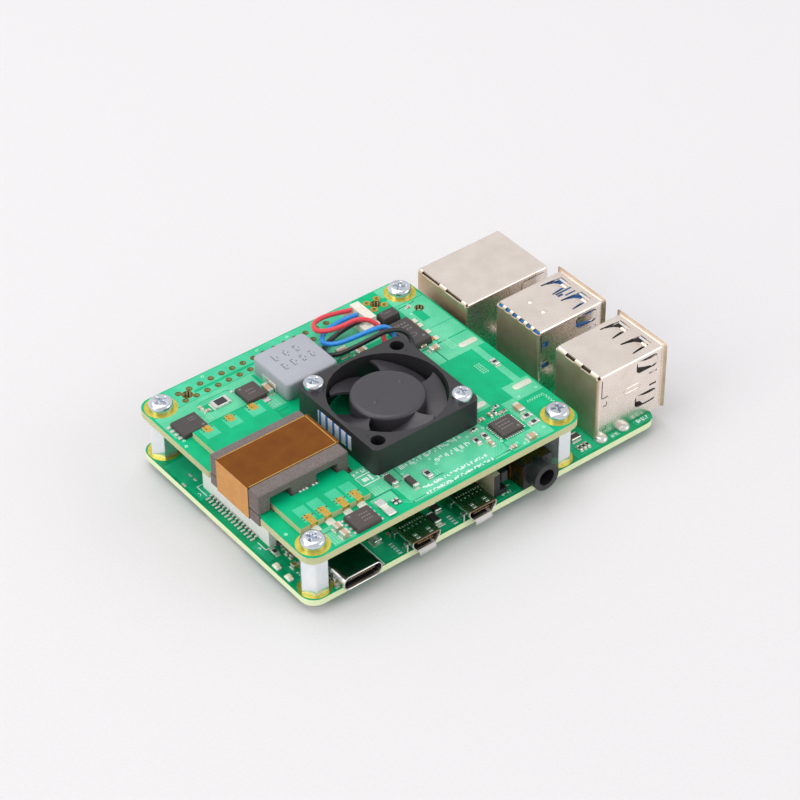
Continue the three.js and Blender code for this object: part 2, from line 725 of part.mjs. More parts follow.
// Stand the middle of the footprint on the origin, with the lowest screw heads at z = 0.
const bounds = new THREE.Box3();
for (const mesh of assembly.children) {
  if (!mesh.name.startsWith('lead_') && mesh.name !== 'fan_plug') {
    bounds.expandByObject(mesh);
  }
}
assembly.position.set(
  -(bounds.min.x + bounds.max.x) / 2,
  -(bounds.min.y + bounds.max.y) / 2,
  -bounds.min.z,
);

const computer = new THREE.Group();
computer.add(assembly);

export default computer;
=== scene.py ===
import math

import bmesh
import bpy
import numpy as np
from mathutils import Matrix, Vector
from mathutils.geometry import tessellate_polygon


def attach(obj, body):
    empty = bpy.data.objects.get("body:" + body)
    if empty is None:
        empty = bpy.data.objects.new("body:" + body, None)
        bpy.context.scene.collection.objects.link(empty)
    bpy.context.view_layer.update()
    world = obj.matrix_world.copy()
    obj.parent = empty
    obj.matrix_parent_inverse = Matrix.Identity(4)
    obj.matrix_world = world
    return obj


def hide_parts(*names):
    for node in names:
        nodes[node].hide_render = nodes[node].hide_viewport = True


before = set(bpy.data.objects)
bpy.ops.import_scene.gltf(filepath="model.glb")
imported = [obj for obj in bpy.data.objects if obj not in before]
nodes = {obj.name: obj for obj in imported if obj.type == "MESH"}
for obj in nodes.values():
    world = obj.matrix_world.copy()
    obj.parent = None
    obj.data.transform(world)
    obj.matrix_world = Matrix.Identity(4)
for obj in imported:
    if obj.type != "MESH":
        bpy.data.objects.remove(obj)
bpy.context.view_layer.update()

# Everything below is drawn in millimetres from the main board's corner, and turned to metres in the
# frame when a piece is made. The frame's origin is the middle of the model's footprint.
cornerInFrame = np.array([-43.94, -26.825, 1.8])

deck = 1.4              # top of the main board
hatFloor = 10.5         # underside of the power board
hatDeck = 12.08         # top of the power board
fanTop = 18.28          # upper face of the fan's frame
fixings = [(3.5, 3.5), (61.5, 3.5), (3.5, 52.5), (61.5, 52.5)]
pinPitch = 2.54         # between neighbouring pins of every header


def toFrame(points):
    return (np.asarray(points, float) + cornerInFrame) / 1000.0


# An sRGB hex colour turned to the linear values that the shaders take.
def linear(hexColour):
    srgb = np.array([int(hexColour[i:i + 2], 16) for i in (1, 3, 5)]) / 255.0
    rgb = np.where(srgb <= 0.04045, srgb / 12.92, ((srgb + 0.055) / 1.055) ** 2.4)
    return (*rgb.tolist(), 1.0)


# Adds one node; settings are attributes or unlinked sockets, links are socket name to (node, output).
def put(tree, kind, settings=None, links=None):
    made = tree.nodes.new(kind)
    for key, value in (settings or {}).items():
        if isinstance(key, int) or key in made.inputs:
            made.inputs[key].default_value = value
        else:
            setattr(made, key, value)
    for key, (source, output) in (links or {}).items():
        tree.links.new(source.outputs[output], made.inputs[key])
    return made


def newMaterial(name, **shader):
    material = bpy.data.materials.new(name)
    material.use_nodes = True
    tree = material.node_tree
    surface = tree.nodes["Principled BSDF"]
    for key, value in shader.items():
        surface.inputs[key].default_value = value
    return material, tree, surface


def ramp(tree, source, output, stops):
    made = put(tree, "ShaderNodeValToRGB", links={"Fac": (source, output)})
    elements = made.color_ramp.elements
    while len(elements) < len(stops):
        elements.new(0.5)
    for element, (place, colour) in zip(elements, stops):
        element.position = place
        element.color = colour
    return made


def placeIn(tree, scale=(1000, 1000, 1000)):
    # Object coordinates are in metres; scale is how many units of the pattern go into one metre.
    coordinate = put(tree, "ShaderNodeTexCoord")
    return put(tree, "ShaderNodeMapping", {"Scale": scale}, {"Vector": (coordinate, "Object")})


def addBump(tree, surface, source, height):
    # height is in metres: the depth of the relief on the real surface
    bump = put(tree, "ShaderNodeBump", {"Strength": 1.0, "Distance": height}, {"Height": (source, "Fac")})
    tree.links.new(bump.outputs["Normal"], surface.inputs["Normal"])


def speckled(name, dark, light, grainMm, reliefMm, roughness, **shader):
    # The colour drifts between two shades at the size of the grain, and the same grain stands in relief.
    material, tree, surface = newMaterial(name, **shader)
    surface.inputs["Roughness"].default_value = roughness
    place = placeIn(tree, (1000 / grainMm,) * 3)
    grain = put(tree, "ShaderNodeTexNoise", {"Scale": 1.0, "Detail": 4.0, "Roughness": 0.6},
                {"Vector": (place, 0)})
    tint = ramp(tree, grain, "Fac", [(0.3, linear(dark)), (0.7, linear(light))])
    tree.links.new(tint.outputs["Color"], surface.inputs["Base Color"])
    broad = put(tree, "ShaderNodeTexNoise", {"Scale": 0.12, "Detail": 2.0}, {"Vector": (place, 0)})
    drift = 0.12 / 2        # how far the polish wanders either way
    wear = put(tree, "ShaderNodeMapRange", {"From Min": 0.3, "From Max": 0.7, "To Min": roughness - drift,
                                            "To Max": roughness + drift}, {"Value": (broad, "Fac")})
    tree.links.new(wear.outputs["Result"], surface.inputs["Roughness"])
    addBump(tree, surface, grain, reliefMm / 1000)
    return material


# Every shape below is a pair: its vertices, and its faces as a list of index tuples.

def gridFaces(rows, columns, closeRows=False, closeColumns=False):
    # quads over a rows by columns grid of points, joined end to end where asked
    r = np.arange(rows if closeRows else rows - 1)
    c = np.arange(columns if closeColumns else columns - 1)
    r, c = (a.ravel() for a in np.meshgrid(r, c, indexing="ij"))
    r1, c1 = (r + 1) % rows, (c + 1) % columns
    return np.stack([r * columns + c, r * columns + c1, r1 * columns + c1, r1 * columns + c], 1)


def gather(parts):
    # many small shapes become one mesh
    verts, faces, start = [], [], 0
    for v, f in parts:
        verts.append(np.asarray(v, float))
        faces.extend([tuple(int(i) + start for i in face) for face in f])
        start += len(v)
    return np.concatenate(verts), faces


def chamferedBox(x0, x1, y0, y1, z0, z1, chamfer):
    # each corner of the box gives three points, one on each face, drawn in by the chamfer
    half = np.array([x1 - x0, y1 - y0, z1 - z0]) / 2
    centre = np.array([x1 + x0, y1 + y0, z1 + z0]) / 2
    chamfer = min(chamfer, 0.45 * half.min() * 2)
    signs = np.array([[sx, sy, sz] for sx in (-1, 1) for sy in (-1, 1) for sz in (-1, 1)], float)
    points = signs[:, None, :] * (half - chamfer * (1 - np.eye(3))[None])
    verts = points.reshape(-1, 3) + centre
    index = {tuple(s.astype(int)): i for i, s in enumerate(signs)}
    faces = []
    for a in range(3):
        b, c = (a + 1) % 3, (a + 2) % 3
        for s in (-1, 1):
            loop = []
            for t, u in ((-1, -1), (1, -1), (1, 1), (-1, 1)):
                key = [0, 0, 0]
                key[a], key[b], key[c] = s, t, u
                loop.append(index[tuple(key)] * 3 + a)
            faces.append(tuple(loop if s > 0 else loop[::-1]))
        for s in (-1, 1):
            for t in (-1, 1):
                low, high = [0, 0, 0], [0, 0, 0]
                low[a], low[b], low[c] = s, t, -1
                high[a], high[b], high[c] = s, t, 1
                i, j = index[tuple(low)], index[tuple(high)]
                quad = (i * 3 + a, i * 3 + b, j * 3 + b, j * 3 + a)
                faces.append(quad if s * t > 0 else quad[::-1])
    for i, s in enumerate(signs):
        corner = (i * 3, i * 3 + 1, i * 3 + 2)
        faces.append(corner if s.prod() > 0 else corner[::-1])
    return verts, faces


def circle(x, y, radius, count):
    turn = np.arange(count) * 2 * math.pi / count
    return np.stack([x + radius * np.cos(turn), y + radius * np.sin(turn)], 1)


def roundedRectangle(x0, x1, y0, y1, radius, steps=6):
    # a quarter circle about each corner's own centre, in turn
    turn = np.linspace(0, math.pi / 2, steps + 1)
    corners = [(x1 - radius, y0 + radius, -math.pi / 2), (x1 - radius, y1 - radius, 0),
               (x0 + radius, y1 - radius, math.pi / 2), (x0 + radius, y0 + radius, math.pi)]
    return np.concatenate([np.stack([cx + radius * np.cos(turn + a), cy + radius * np.sin(turn + a)], 1)
                           for cx, cy, a in corners])


def prism(outline, z0, z1):
    # an outline drawn anticlockwise, carried up from z0 to z1, with one flat face on each end
    n = len(outline)
    verts = np.concatenate([np.c_[outline, np.full(n, z0)], np.c_[outline, np.full(n, z1)]])
    faces = [tuple(f) for f in gridFaces(2, n, closeColumns=True)]
    faces.append(tuple(range(n - 1, -1, -1)))
    faces.append(tuple(range(n, 2 * n)))
    return verts, faces


def inset(outline, amount):
    # every point moves in along the mean of its two edges' normals, for a convex or gently curved outline
    ahead = np.roll(outline, -1, 0) - outline
    normal = np.stack([-ahead[:, 1], ahead[:, 0]], 1)
    normal /= np.maximum(np.linalg.norm(normal, axis=1, keepdims=True), 1e-9)
    both = normal + np.roll(normal, 1, 0)
    scale = np.maximum((both ** 2).sum(1, keepdims=True), 0.5) / 2
    return outline + both / scale * amount


def softPrism(outline, z0, z1, edge, bottomEdge=0.0):
    # a prism whose top rim is drawn in over two steps of a rounded edge
    rings = [(outline if not bottomEdge else inset(outline, bottomEdge), z0)]
    if bottomEdge:
        rings.append((outline, z0 + bottomEdge))
    rings += [(outline, z1 - edge), (inset(outline, edge * 0.3), z1 - edge * 0.3), (inset(outline, edge), z1)]
    n = len(outline)
    verts = np.concatenate([np.c_[ring, np.full(n, z)] for ring, z in rings])
    faces = [tuple(f) for f in gridFaces(len(rings), n, closeColumns=True)]
    faces.append(tuple(range(n - 1, -1, -1)))
    faces.append(tuple(range((len(rings) - 1) * n, len(rings) * n)))
    return verts, faces


def holedPlate(outline, holes, z0, z1):
    # outline anticlockwise, holes clockwise; both ends are cut into triangles round the holes
    loops = [np.asarray(outline)] + [np.asarray(h)[::-1] for h in holes]
    flat = np.concatenate(loops)
    caps = tessellate_polygon([[Vector((p[0], p[1], 0)) for p in loop] for loop in loops])
    n = len(flat)
    verts = np.concatenate([np.c_[flat, np.full(n, z0)], np.c_[flat, np.full(n, z1)]])
    tri = np.array(caps)
    a, b, c = flat[tri[:, 0]], flat[tri[:, 1]], flat[tri[:, 2]]
    area = (b[:, 0] - a[:, 0]) * (c[:, 1] - a[:, 1]) - (b[:, 1] - a[:, 1]) * (c[:, 0] - a[:, 0])
    tri = np.where(area[:, None] < 0, tri[:, ::-1], tri)[np.abs(area) > 1e-9]
    faces = [tuple(t + n) for t in tri] + [tuple(t[::-1]) for t in tri]
    start = 0
    for loop in loops:
        i = start + np.arange(len(loop))
        j = start + (np.arange(len(loop)) + 1) % len(loop)
        faces += [tuple(q) for q in np.stack([i, j, j + n, i + n], 1)]
        start += len(loop)
    return verts, faces


def lathe(profile, count, centre=(0, 0, 0)):
    # a profile of (radius, height) turned about an upright axis; ends on the axis close to a point
    profile = np.asarray(profile, float)
    turn = np.arange(count) * 2 * math.pi / count
    r, z = profile[:, 0][:, None], profile[:, 1][:, None]
    verts = np.stack([r * np.cos(turn), r * np.sin(turn), z + 0 * turn], 2).reshape(-1, 3)
    return verts + np.asarray(centre), [tuple(f) for f in gridFaces(len(profile), count, closeColumns=True)]


def ringPlate(x, y, z0, z1, inner, outer, count):
    # a flat washer: its section is a rectangle turned about the hole
    verts, _ = lathe([(inner, z0), (outer, z0), (outer, z1), (inner, z1)], count, (x, y, 0))
    return verts, [tuple(f) for f in gridFaces(4, count, closeRows=True, closeColumns=True)]


def tube(path, radius, sides):
    # a ring of points about each path point, in the plane across the path, kept level with an upward guide
    path = np.asarray(path, float)
    along = np.gradient(path, axis=0)
    along /= np.linalg.norm(along, axis=1, keepdims=True)
    guide = np.array([0.13, 0.21, 1.0])
    across = np.cross(along, guide)
    across /= np.linalg.norm(across, axis=1, keepdims=True)
    upward = np.cross(across, along)
    turn = np.arange(sides) * 2 * math.pi / sides
    verts = (path[:, None] + radius * (np.cos(turn)[None, :, None] * across[:, None]
             + np.sin(turn)[None, :, None] * upward[:, None])).reshape(-1, 3)
    faces = [tuple(f) for f in gridFaces(len(path), sides, closeColumns=True)]
    faces.append(tuple(range(sides - 1, -1, -1)))
    faces.append(tuple(range((len(path) - 1) * sides, len(path) * sides)))
    return verts, faces


def strip(points, width, z0, z1):
    # a flat track of one width along a bent line, its corners mitred
    p = np.asarray(points, float)
    step = np.diff(p, axis=0)
    step /= np.linalg.norm(step, axis=1, keepdims=True)
    side = np.stack([-step[:, 1], step[:, 0]], 1)
    first, last = side[:1], side[-1:]
    both = np.concatenate([first, side]) + np.concatenate([side, last])
    mitre = both / np.maximum((both ** 2).sum(1, keepdims=True) / 2, 0.6)
    outline = np.concatenate([p - mitre * width / 2, (p + mitre * width / 2)[::-1]])
    n = len(p)
    verts = np.concatenate([np.c_[outline, np.full(2 * n, z0)], np.c_[outline, np.full(2 * n, z1)]])
    faces = [tuple(f) for f in gridFaces(2, 2 * n, closeColumns=True)]
    for k in range(n - 1):
        quad = (k, k + 1, 2 * n - 2 - k, 2 * n - 1 - k)
        faces.append(tuple(q + 2 * n for q in quad))
        faces.append(quad[::-1])
    return verts, faces


def moved(shape, offset=(0, 0, 0), turn=0.0):
    # turn about the upright axis in degrees, then move
    verts, faces = shape
    a = math.radians(turn)
    spin = np.array([[math.cos(a), -math.sin(a), 0], [math.sin(a), math.cos(a), 0], [0, 0, 1]])
    return verts @ spin.T + np.asarray(offset, float), faces


def makePiece(name, shape, material, body="computer", replaced=(), smoothAngle=35, recalc=False):
    verts, faces = shape
    mesh = bpy.data.meshes.new(name)
    mesh.from_pydata(toFrame(verts).tolist(), [], faces)
    mesh.validate()
    mesh.update()
    piece = bpy.data.objects.new(name, mesh)
    bpy.context.scene.collection.objects.link(piece)
    mesh.materials.append(material)
    bm = bmesh.new()
    bm.from_mesh(mesh)
    bmesh.ops.remove_doubles(bm, verts=bm.verts, dist=1e-7)
    bmesh.ops.dissolve_degenerate(bm, dist=1e-8, edges=bm.edges)
    if recalc:
        bmesh.ops.recalc_face_normals(bm, faces=bm.faces)
    bm.to_mesh(mesh)
    bm.free()
    finishSurface(piece, smoothAngle)
    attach(piece, body)
    if replaced:
        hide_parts(*replaced)
    return piece


# Many thin parts with flat faces, as one piece.
def flatPiece(name, parts, material):
    return makePiece(name, gather(parts), material, smoothAngle=0)


def finishSurface(piece, smoothAngle, bevelMm=0.0, bevelSteps=2):
    if smoothAngle:
        piece.data.shade_smooth()
        piece.data.set_sharp_from_angle(angle=math.radians(smoothAngle))
    if bevelMm:
        bevel = piece.modifiers.new("edge", "BEVEL")
        bevel.width = bevelMm / 1000
        bevel.segments = bevelSteps
        bevel.limit_method = "ANGLE"
        bevel.angle_limit = math.radians(40)
        bevel.harden_normals = True


# A CAD node whose shape is right: its copy is merged and gets broken edges, and stands in for the node.
def dressNode(name, material, bevelMm, bevelSteps=2, body="computer"):
    source = nodes[name]
    mesh = source.data.copy()
    mesh.materials.clear()
    mesh.materials.append(material)
    piece = bpy.data.objects.new(name + "_finished", mesh)
    bpy.context.scene.collection.objects.link(piece)
    bm = bmesh.new()
    bm.from_mesh(mesh)
    bmesh.ops.remove_doubles(bm, verts=bm.verts, dist=2e-6)
    bmesh.ops.dissolve_limit(bm, angle_limit=math.radians(0.8), verts=bm.verts, edges=bm.edges)
    bm.to_mesh(mesh)
    bm.free()
    finishSurface(piece, 35, bevelMm, bevelSteps)
    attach(piece, body)
    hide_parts(name)
    return piece


view = {"place": (-0.24748, -0.31980, 0.34864), "right": (0.78866, -0.61477, -0.00875),
        "up": (0.39865, 0.50047, 0.76851), "forward": (0.46808, 0.60958, -0.63978),
        "lensMm": 122.36, "shift": (-0.0021, -0.0025)}

lens = bpy.data.cameras.new("view")
lens.lens = view["lensMm"]
lens.sensor_width = 36
lens.shift_x, lens.shift_y = view["shift"]
lens.clip_start, lens.clip_end = 0.01, 20
camera = bpy.data.objects.new("view", lens)
rows = [[view["right"][i], view["up"][i], -view["forward"][i], view["place"][i]] for i in range(3)]
camera.matrix_world = Matrix([*rows, [0, 0, 0, 1]])
bpy.context.scene.collection.objects.link(camera)
bpy.context.scene.camera = camera

# A broad sheet of matt paper: a grid whose far side rises in a gentle curve, z = rise * t^3.
paper = speckled("paper_matt_fine_fibre", "#dcdadb", "#e0dfe0", 0.6, 0.01, 0.9)
u, v = np.meshgrid(np.linspace(-1, 1, 41), np.linspace(-1, 1, 41), indexing="ij")
sweep = np.clip((u + v) / 2 - 0.15, 0, 1) ** 3 * 900
floorMesh = bpy.data.meshes.new("floor")
floorMesh.from_pydata((np.stack([u * 1500, v * 1500, sweep], 2).reshape(-1, 3) / 1000).tolist(), [],
                      gridFaces(41, 41)[:, ::-1].tolist())
floorMesh.materials.append(paper)
floorMesh.shade_smooth()
floor = bpy.data.objects.new("floor", floorMesh)
bpy.context.scene.collection.objects.link(floor)

# Overhead soft box, a long fill from the left and a weaker one from the right, in a pale room.
lamps = {"overhead": {"place": (-0.10, 0.30, 0.95), "size": (0.9, 0.7), "watts": 3.8},
         "left": {"place": (-0.95, 0.10, 0.55), "size": (0.5, 0.9), "watts": 2.8},
         "right": {"place": (0.65, -0.75, 0.50), "size": (0.7, 0.5), "watts": 2.0}}
for name, spec in lamps.items():
    lamp = bpy.data.lights.new(name, "AREA")
    lamp.shape = "RECTANGLE"
    lamp.size, lamp.size_y = spec["size"]
    lamp.energy = spec["watts"]
    shade = bpy.data.objects.new(name, lamp)
    shade.location = spec["place"]
    shade.rotation_euler = (-Vector(spec["place"])).to_track_quat("-Z", "Y").to_euler()
    bpy.context.scene.collection.objects.link(shade)
room = bpy.data.worlds.new("room")
room.use_nodes = True
room.node_tree.nodes["Background"].inputs["Color"].default_value = linear("#f4f3f4")
room.node_tree.nodes["Background"].inputs["Strength"].default_value = 0.86
bpy.context.scene.world = room
bpy.context.scene.view_settings.view_transform = "Standard"
print("camera, floor and lights in place")


def solderMask(name, dark, light):
    # clear green lacquer over woven glass: slow drift between two greens, a faint weave, a glossy skin
    material, tree, surface = newMaterial(name, **{"Specular IOR Level": 0.16})
    place = placeIn(tree)
    drift = put(tree, "ShaderNodeTexNoise", {"Scale": 0.22, "Detail": 3.0}, {"Vector": (place, 0)})
    tint = ramp(tree, drift, "Fac", [(0.35, linear(dark)), (0.65, linear(light))])
    weave = put(tree, "ShaderNodeTexChecker", {"Scale": 1.9}, {"Vector": (place, 0)})
    fine = put(tree, "ShaderNodeTexNoise", {"Scale": 3.5, "Detail": 3.0}, {"Vector": (place, 0)})
    shadeOf = put(tree, "ShaderNodeMapRange", {"To Min": 0.93, "To Max": 1.05}, {"Value": (fine, "Fac")})
    woven = put(tree, "ShaderNodeMapRange", {"To Min": 0.985, "To Max": 1.01}, {"Value": (weave, "Fac")})
    both = put(tree, "ShaderNodeMath", {"operation": "MULTIPLY"},
               {0: (shadeOf, "Result"), 1: (woven, "Result")})
    colour = put(tree, "ShaderNodeVectorMath", {"operation": "SCALE"},
                 {0: (tint, "Color"), "Scale": (both, 0)})
    tree.links.new(colour.outputs["Vector"], surface.inputs["Base Color"])
    gloss = put(tree, "ShaderNodeMapRange", {"To Min": 0.24, "To Max": 0.42}, {"Value": (drift, "Fac")})
    tree.links.new(gloss.outputs["Result"], surface.inputs["Roughness"])
    addBump(tree, surface, fine, 0.000012)
    return material


def layered(name, dark, light, pitchMm):
    # cut edge of the glass laminate: level layers a fraction of a millimetre apart, broken by fibre ends
    material, tree, surface = newMaterial(name, Roughness=0.62)
    place = placeIn(tree)
    layers = put(tree, "ShaderNodeTexWave", {"bands_direction": "Z", "Scale": 0.314 / pitchMm,
                                             "Distortion": 1.2,
                                             "Detail": 2.0, "Detail Scale": 2.0}, {"Vector": (place, 0)})
    tint = ramp(tree, layers, "Fac", [(0.2, linear(dark)), (0.8, linear(light))])
    ends = put(tree, "ShaderNodeTexNoise", {"Scale": 7.0, "Detail": 3.0}, {"Vector": (place, 0)})
    speck = put(tree, "ShaderNodeMapRange", {"To Min": 0.86, "To Max": 1.1}, {"Value": (ends, "Fac")})
    colour = put(tree, "ShaderNodeVectorMath", {"operation": "SCALE"},
                 {0: (tint, "Color"), "Scale": (speck, 0)})
    tree.links.new(colour.outputs["Vector"], surface.inputs["Base Color"])
    addBump(tree, surface, ends, 0.00003)
    return material


def brushedMetal(name, dark, light, roughness, grain, reliefMm, metallic=1.0):
    # rolled or drawn metal: fine lines one way, and a slow drift in colour and polish
    material, tree, surface = newMaterial(name, Metallic=metallic)
    place = placeIn(tree, tuple(1000 * g for g in grain))
    lines = put(tree, "ShaderNodeTexNoise", {"Scale": 1.6, "Detail": 4.0}, {"Vector": (place, 0)})
    flat = placeIn(tree)
    drift = put(tree, "ShaderNodeTexNoise", {"Scale": 0.25, "Detail": 2.0}, {"Vector": (flat, 0)})
    tint = ramp(tree, drift, "Fac", [(0.3, linear(dark)), (0.7, linear(light))])
    tree.links.new(tint.outputs["Color"], surface.inputs["Base Color"])
    polish = put(tree, "ShaderNodeMapRange", {"To Min": roughness * 0.75, "To Max": roughness * 1.3},
                 {"Value": (lines, "Fac")})
    tree.links.new(polish.outputs["Result"], surface.inputs["Roughness"])
    addBump(tree, surface, lines, reliefMm / 1000)
    return material


def barred(name, base, bar, pitchMm, share):
    # printed film: bars of ink across the label instead of figures, soft-edged where the ink spreads
    material, tree, surface = newMaterial(name, Roughness=0.38)
    place = placeIn(tree)
    bars = put(tree, "ShaderNodeTexWave", {"bands_direction": "Y", "Scale": 0.314 / pitchMm,
                                           "Distortion": 0.3},
               {"Vector": (place, 0)})
    ink = ramp(tree, bars, "Fac", [(share, linear(base)), (share + 0.08, linear(bar))])
    tree.links.new(ink.outputs["Color"], surface.inputs["Base Color"])
    return material


# Clear green lacquer over woven glass: deep and glossy, with the weave just felt beneath it.
maskPower = solderMask("solder_mask_bright_green_woven", "#02ab74", "#02ba81")
# The same lacquer over copper: paler and milkier, so pours and tracks read as shapes under one skin.
maskPour = solderMask("solder_mask_over_copper_pour", "#56c496", "#6bd1a5")
maskGpio = solderMask("solder_mask_header_strip", "#3dc091", "#53cca0")
maskTrace = solderMask("solder_mask_over_fine_tracks", "#86dcb4", "#9fe6c4")
maskStrip = solderMask("solder_mask_over_thin_copper", "#3cc090", "#55cda0")
# The lower board's lacquer is a deeper green, so the two boards read as separate.
maskMain = solderMask("solder_mask_main_green_woven", "#029662", "#06b172")
maskMainPour = solderMask("solder_mask_main_over_copper", "#16ae7b", "#2cc08c")
# Lacquer over bare laminate: the darker lines between areas of copper.
maskDark = solderMask("solder_mask_inner_bare_laminate", "#06805a", "#0b9069")
# Cut glass laminate: pale, finely layered edges that outline each board.
edgePower = layered("laminate_edge_lime_layers", "#b2b57c", "#dadcae", 0.22)
edgeMain = layered("laminate_edge_cream_layers", "#daf4b4", "#fafad5", 0.2)
# Screen-printed ink: flat off-white with no shine.
silk = speckled("silkscreen_ink_matt_white", "#d5efe4", "#eefaf4", 0.3, 0.004, 0.7)
# Gold flash over copper: small warm glints broken up by fine pits.
gold = speckled("gold_flash_pad_fine_pits", "#c79a3e", "#e6c568", 0.25, 0.006, 0.3, Metallic=1.0)
# Bare pads: a washed-out yellow, between paint and metal, that stands out from the green.
ringGold = speckled("bare_pad_yellow_washed", "#c6b43c", "#e2d566", 0.8, 0.006, 0.34, Metallic=0.75)
# Plated hole walls: dull dark copper, so that each hole looks deep.
plated = speckled("plated_hole_dull_copper", "#6a4a14", "#8f6a24", 0.3, 0.01, 0.42, Metallic=0.9)
# Tinned solder: a frosted light grey that breaks reflections up.
tin = speckled("solder_tin_frosted", "#c9c9c4", "#f0efea", 0.22, 0.012, 0.3, Metallic=0.85)
# Reflowed solder: a beige bead with a soft sheen, less bright than tin.
solderPaste = speckled("solder_matt_beige_bead", "#c4cbb9", "#e9ecdc", 0.2, 0.02, 0.45, Metallic=0.35)
# Zinc plate on turned screws: cold blue-white highlights.
zinc = brushedMetal("zinc_plate_turned_blue_white", "#c3c9d2", "#e6eaf0", 0.2, (1.5, 1.5, 1.5), 0.006)
# Nickel on drawn brass: nearly white flats with fine lines along them.
standoffMetal = brushedMetal("nickel_brass_hex_drawn", "#e4edf1", "#f8fbfc", 0.2, (6.0, 6.0, 0.7), 0.002, 0.8)
# Rolled nickel sheet, warm in tone and softly mirrored; the faces turned to the back take a duller, browner
# copy of it as painted shade.
nickelBackShaded = brushedMetal("nickel_sheet_back_painted_shade", "#dcc3aa", "#ead5c1", 0.5, (1.0, 7.0, 1.0), 0.0008)
nickel = brushedMetal("nickel_sheet_rolled_warm", "#ece0d6", "#f4eae1", 0.27, (1.0, 7.0, 1.0), 0.0008)
# Stamped steel: bright rims and lips round each mouth; the tops between them, which lie under the power
# board, are darker copies of the steel as painted shade.
portSteel = brushedMetal("port_shell_stamped_steel_bright", "#c6c4c1", "#e2e0dc", 0.2, (1.0, 5.0, 1.0),
                         0.0015)
portTopShaded = brushedMetal("port_shell_top_painted_shade", "#54504a", "#746e66", 0.2, (1.0, 5.0, 1.0), 0.0015)
# the video ports' tops: a warm brown copy of the steel as painted shade
videoTopShaded = brushedMetal("video_shell_top_painted_shade", "#93735c", "#ab8a71", 0.26, (1.0, 5.0, 1.0),
                          0.0015)
# Stamped shield lids: plain cool grey sheet.
lidSteel = brushedMetal("shield_lid_stamped_steel", "#b3b5b4", "#d6d7d4", 0.26, (5.0, 1.0, 1.0), 0.0015)
# Moulded epoxy: charcoal with a fine tooth, one shade for some chips and a sanded one for others.
epoxy = speckled("epoxy_chip_moulded_black", "#3a3635", "#45403f", 0.12, 0.006, 0.5)
epoxyGrey = speckled("epoxy_chip_grey_sanded", "#443c3b", "#4f4644", 0.1, 0.008, 0.52)
# Marks on chips: faint grey, only just lighter than the epoxy.
chipMark = speckled("chip_print_faint_grey", "#6d6967", "#7d7977", 0.2, 0.002, 0.6)
# Pressed ferrite powder: warm grey with a coarse, chalky grain.
ferrite = speckled("ferrite_core_pressed_powder", "#5f5551", "#7b706e", 0.35, 0.03, 0.6)
# Polyimide tape: dark glossy brown on top; the side is painted a glowing amber for light that gets in from
# the side, and each cut edge carries a painted highlight line.
tapeTop = speckled("polyimide_tape_brown_glossy", "#6c3a02", "#7a4503", 3.0, 0.004, 0.14,
                   **{"Specular IOR Level": 0.2})
tapeSidePaintedGlow = speckled("polyimide_tape_side_painted_glow", "#c27e26", "#ce8e37", 2.0, 0.004, 0.22)
# a bright copy of the tape for its cut edges: painted highlight
tapeEdgeHighlight = speckled("polyimide_tape_edge_painted_highlight", "#a87a26", "#c69a42", 0.8, 0.004, 0.3)
# Painted block of pressed powder: flat blue-grey, with slate marks a few shades darker.
inductorPaint = speckled("inductor_pressed_blue_grey", "#a3a6ae", "#abaeb7", 0.3, 0.006, 0.5)
inductorMark = speckled("inductor_print_slate", "#474b58", "#565a68", 0.2, 0.002, 0.55)
# Moulded plastic: a satin grain softens the frame's highlights, and the smoother blades catch more light.
fanPlastic = speckled("fan_plastic_black_satin_grain", "#252326", "#2d2b2e", 0.14, 0.01, 0.4)
fanBlade = speckled("fan_blade_black_smooth", "#38353a", "#413e43", 0.3, 0.004, 0.36)
# Moulded socket plastic: black with a slight sheen that keeps its edges visible.
blackPlastic = speckled("socket_plastic_black_moulded", "#1a1a1c", "#28282b", 0.25, 0.01, 0.4)
# Moulded housings: waxy ivory, clean white and tan, each drifting a little in tone.
ivoryPlastic = speckled("housing_plastic_ivory", "#d8d2c4", "#ece7da", 0.4, 0.01, 0.42)
whitePlastic = speckled("connector_plastic_white", "#e2e3de", "#f6f6f2", 0.4, 0.01, 0.4)
beigePlastic = speckled("connector_plastic_tan", "#b9a98e", "#d4c6ac", 0.4, 0.01, 0.45)
# Moulded blue insert: strong enough in colour to read through the shell's windows.
bluePlastic = speckled("usb_insert_plastic_blue", "#0b69b4", "#1d82cf", 0.4, 0.008, 0.35)
# Fired ceramic: dry tan blocks.
ceramic = speckled("ceramic_capacitor_tan", "#a98e6c", "#cbb18c", 0.15, 0.008, 0.45)
# Glass glaze: small dark faces with a sharp shine.
resistorTop = speckled("resistor_glaze_black", "#202124", "#303135", 0.12, 0.005, 0.35)
# Cloudy lens: smooth pale yellow.
ledLens = speckled("led_lens_cloudy_yellow", "#ebe6c0", "#fbf7dc", 0.3, 0.004, 0.25)
# Stamped brass gone dull: a dark olive-gold plate.
brassDull = speckled("jack_frame_brass_dull", "#5c4519", "#7d6029", 0.4, 0.006, 0.36, Metallic=0.85)
# Bare copper: bright orange-brown leads and springs.
copperTab = speckled("copper_contact_bright", "#b3713c", "#d6955a", 0.3, 0.006, 0.28, Metallic=1.0)
# Printed film: blue bars on white.
filmLabel = barred("label_film_white_blue_bars", "#dfe6f2", "#3f6fb8", 2.1, 0.68)
# Extruded vinyl: a long soft highlight down each lead.
wireSkins = {"lead_red": speckled("wire_pvc_red_glossy", "#d8343f", "#e34a54", 0.5, 0.006, 0.3),
             "lead_blue": speckled("wire_pvc_blue_glossy", "#1480d6", "#2a92e4", 0.5, 0.006, 0.3),
             "lead_black": speckled("wire_pvc_black_glossy", "#19191c", "#2a2a2e", 0.5, 0.006, 0.3)}
print("materials made")


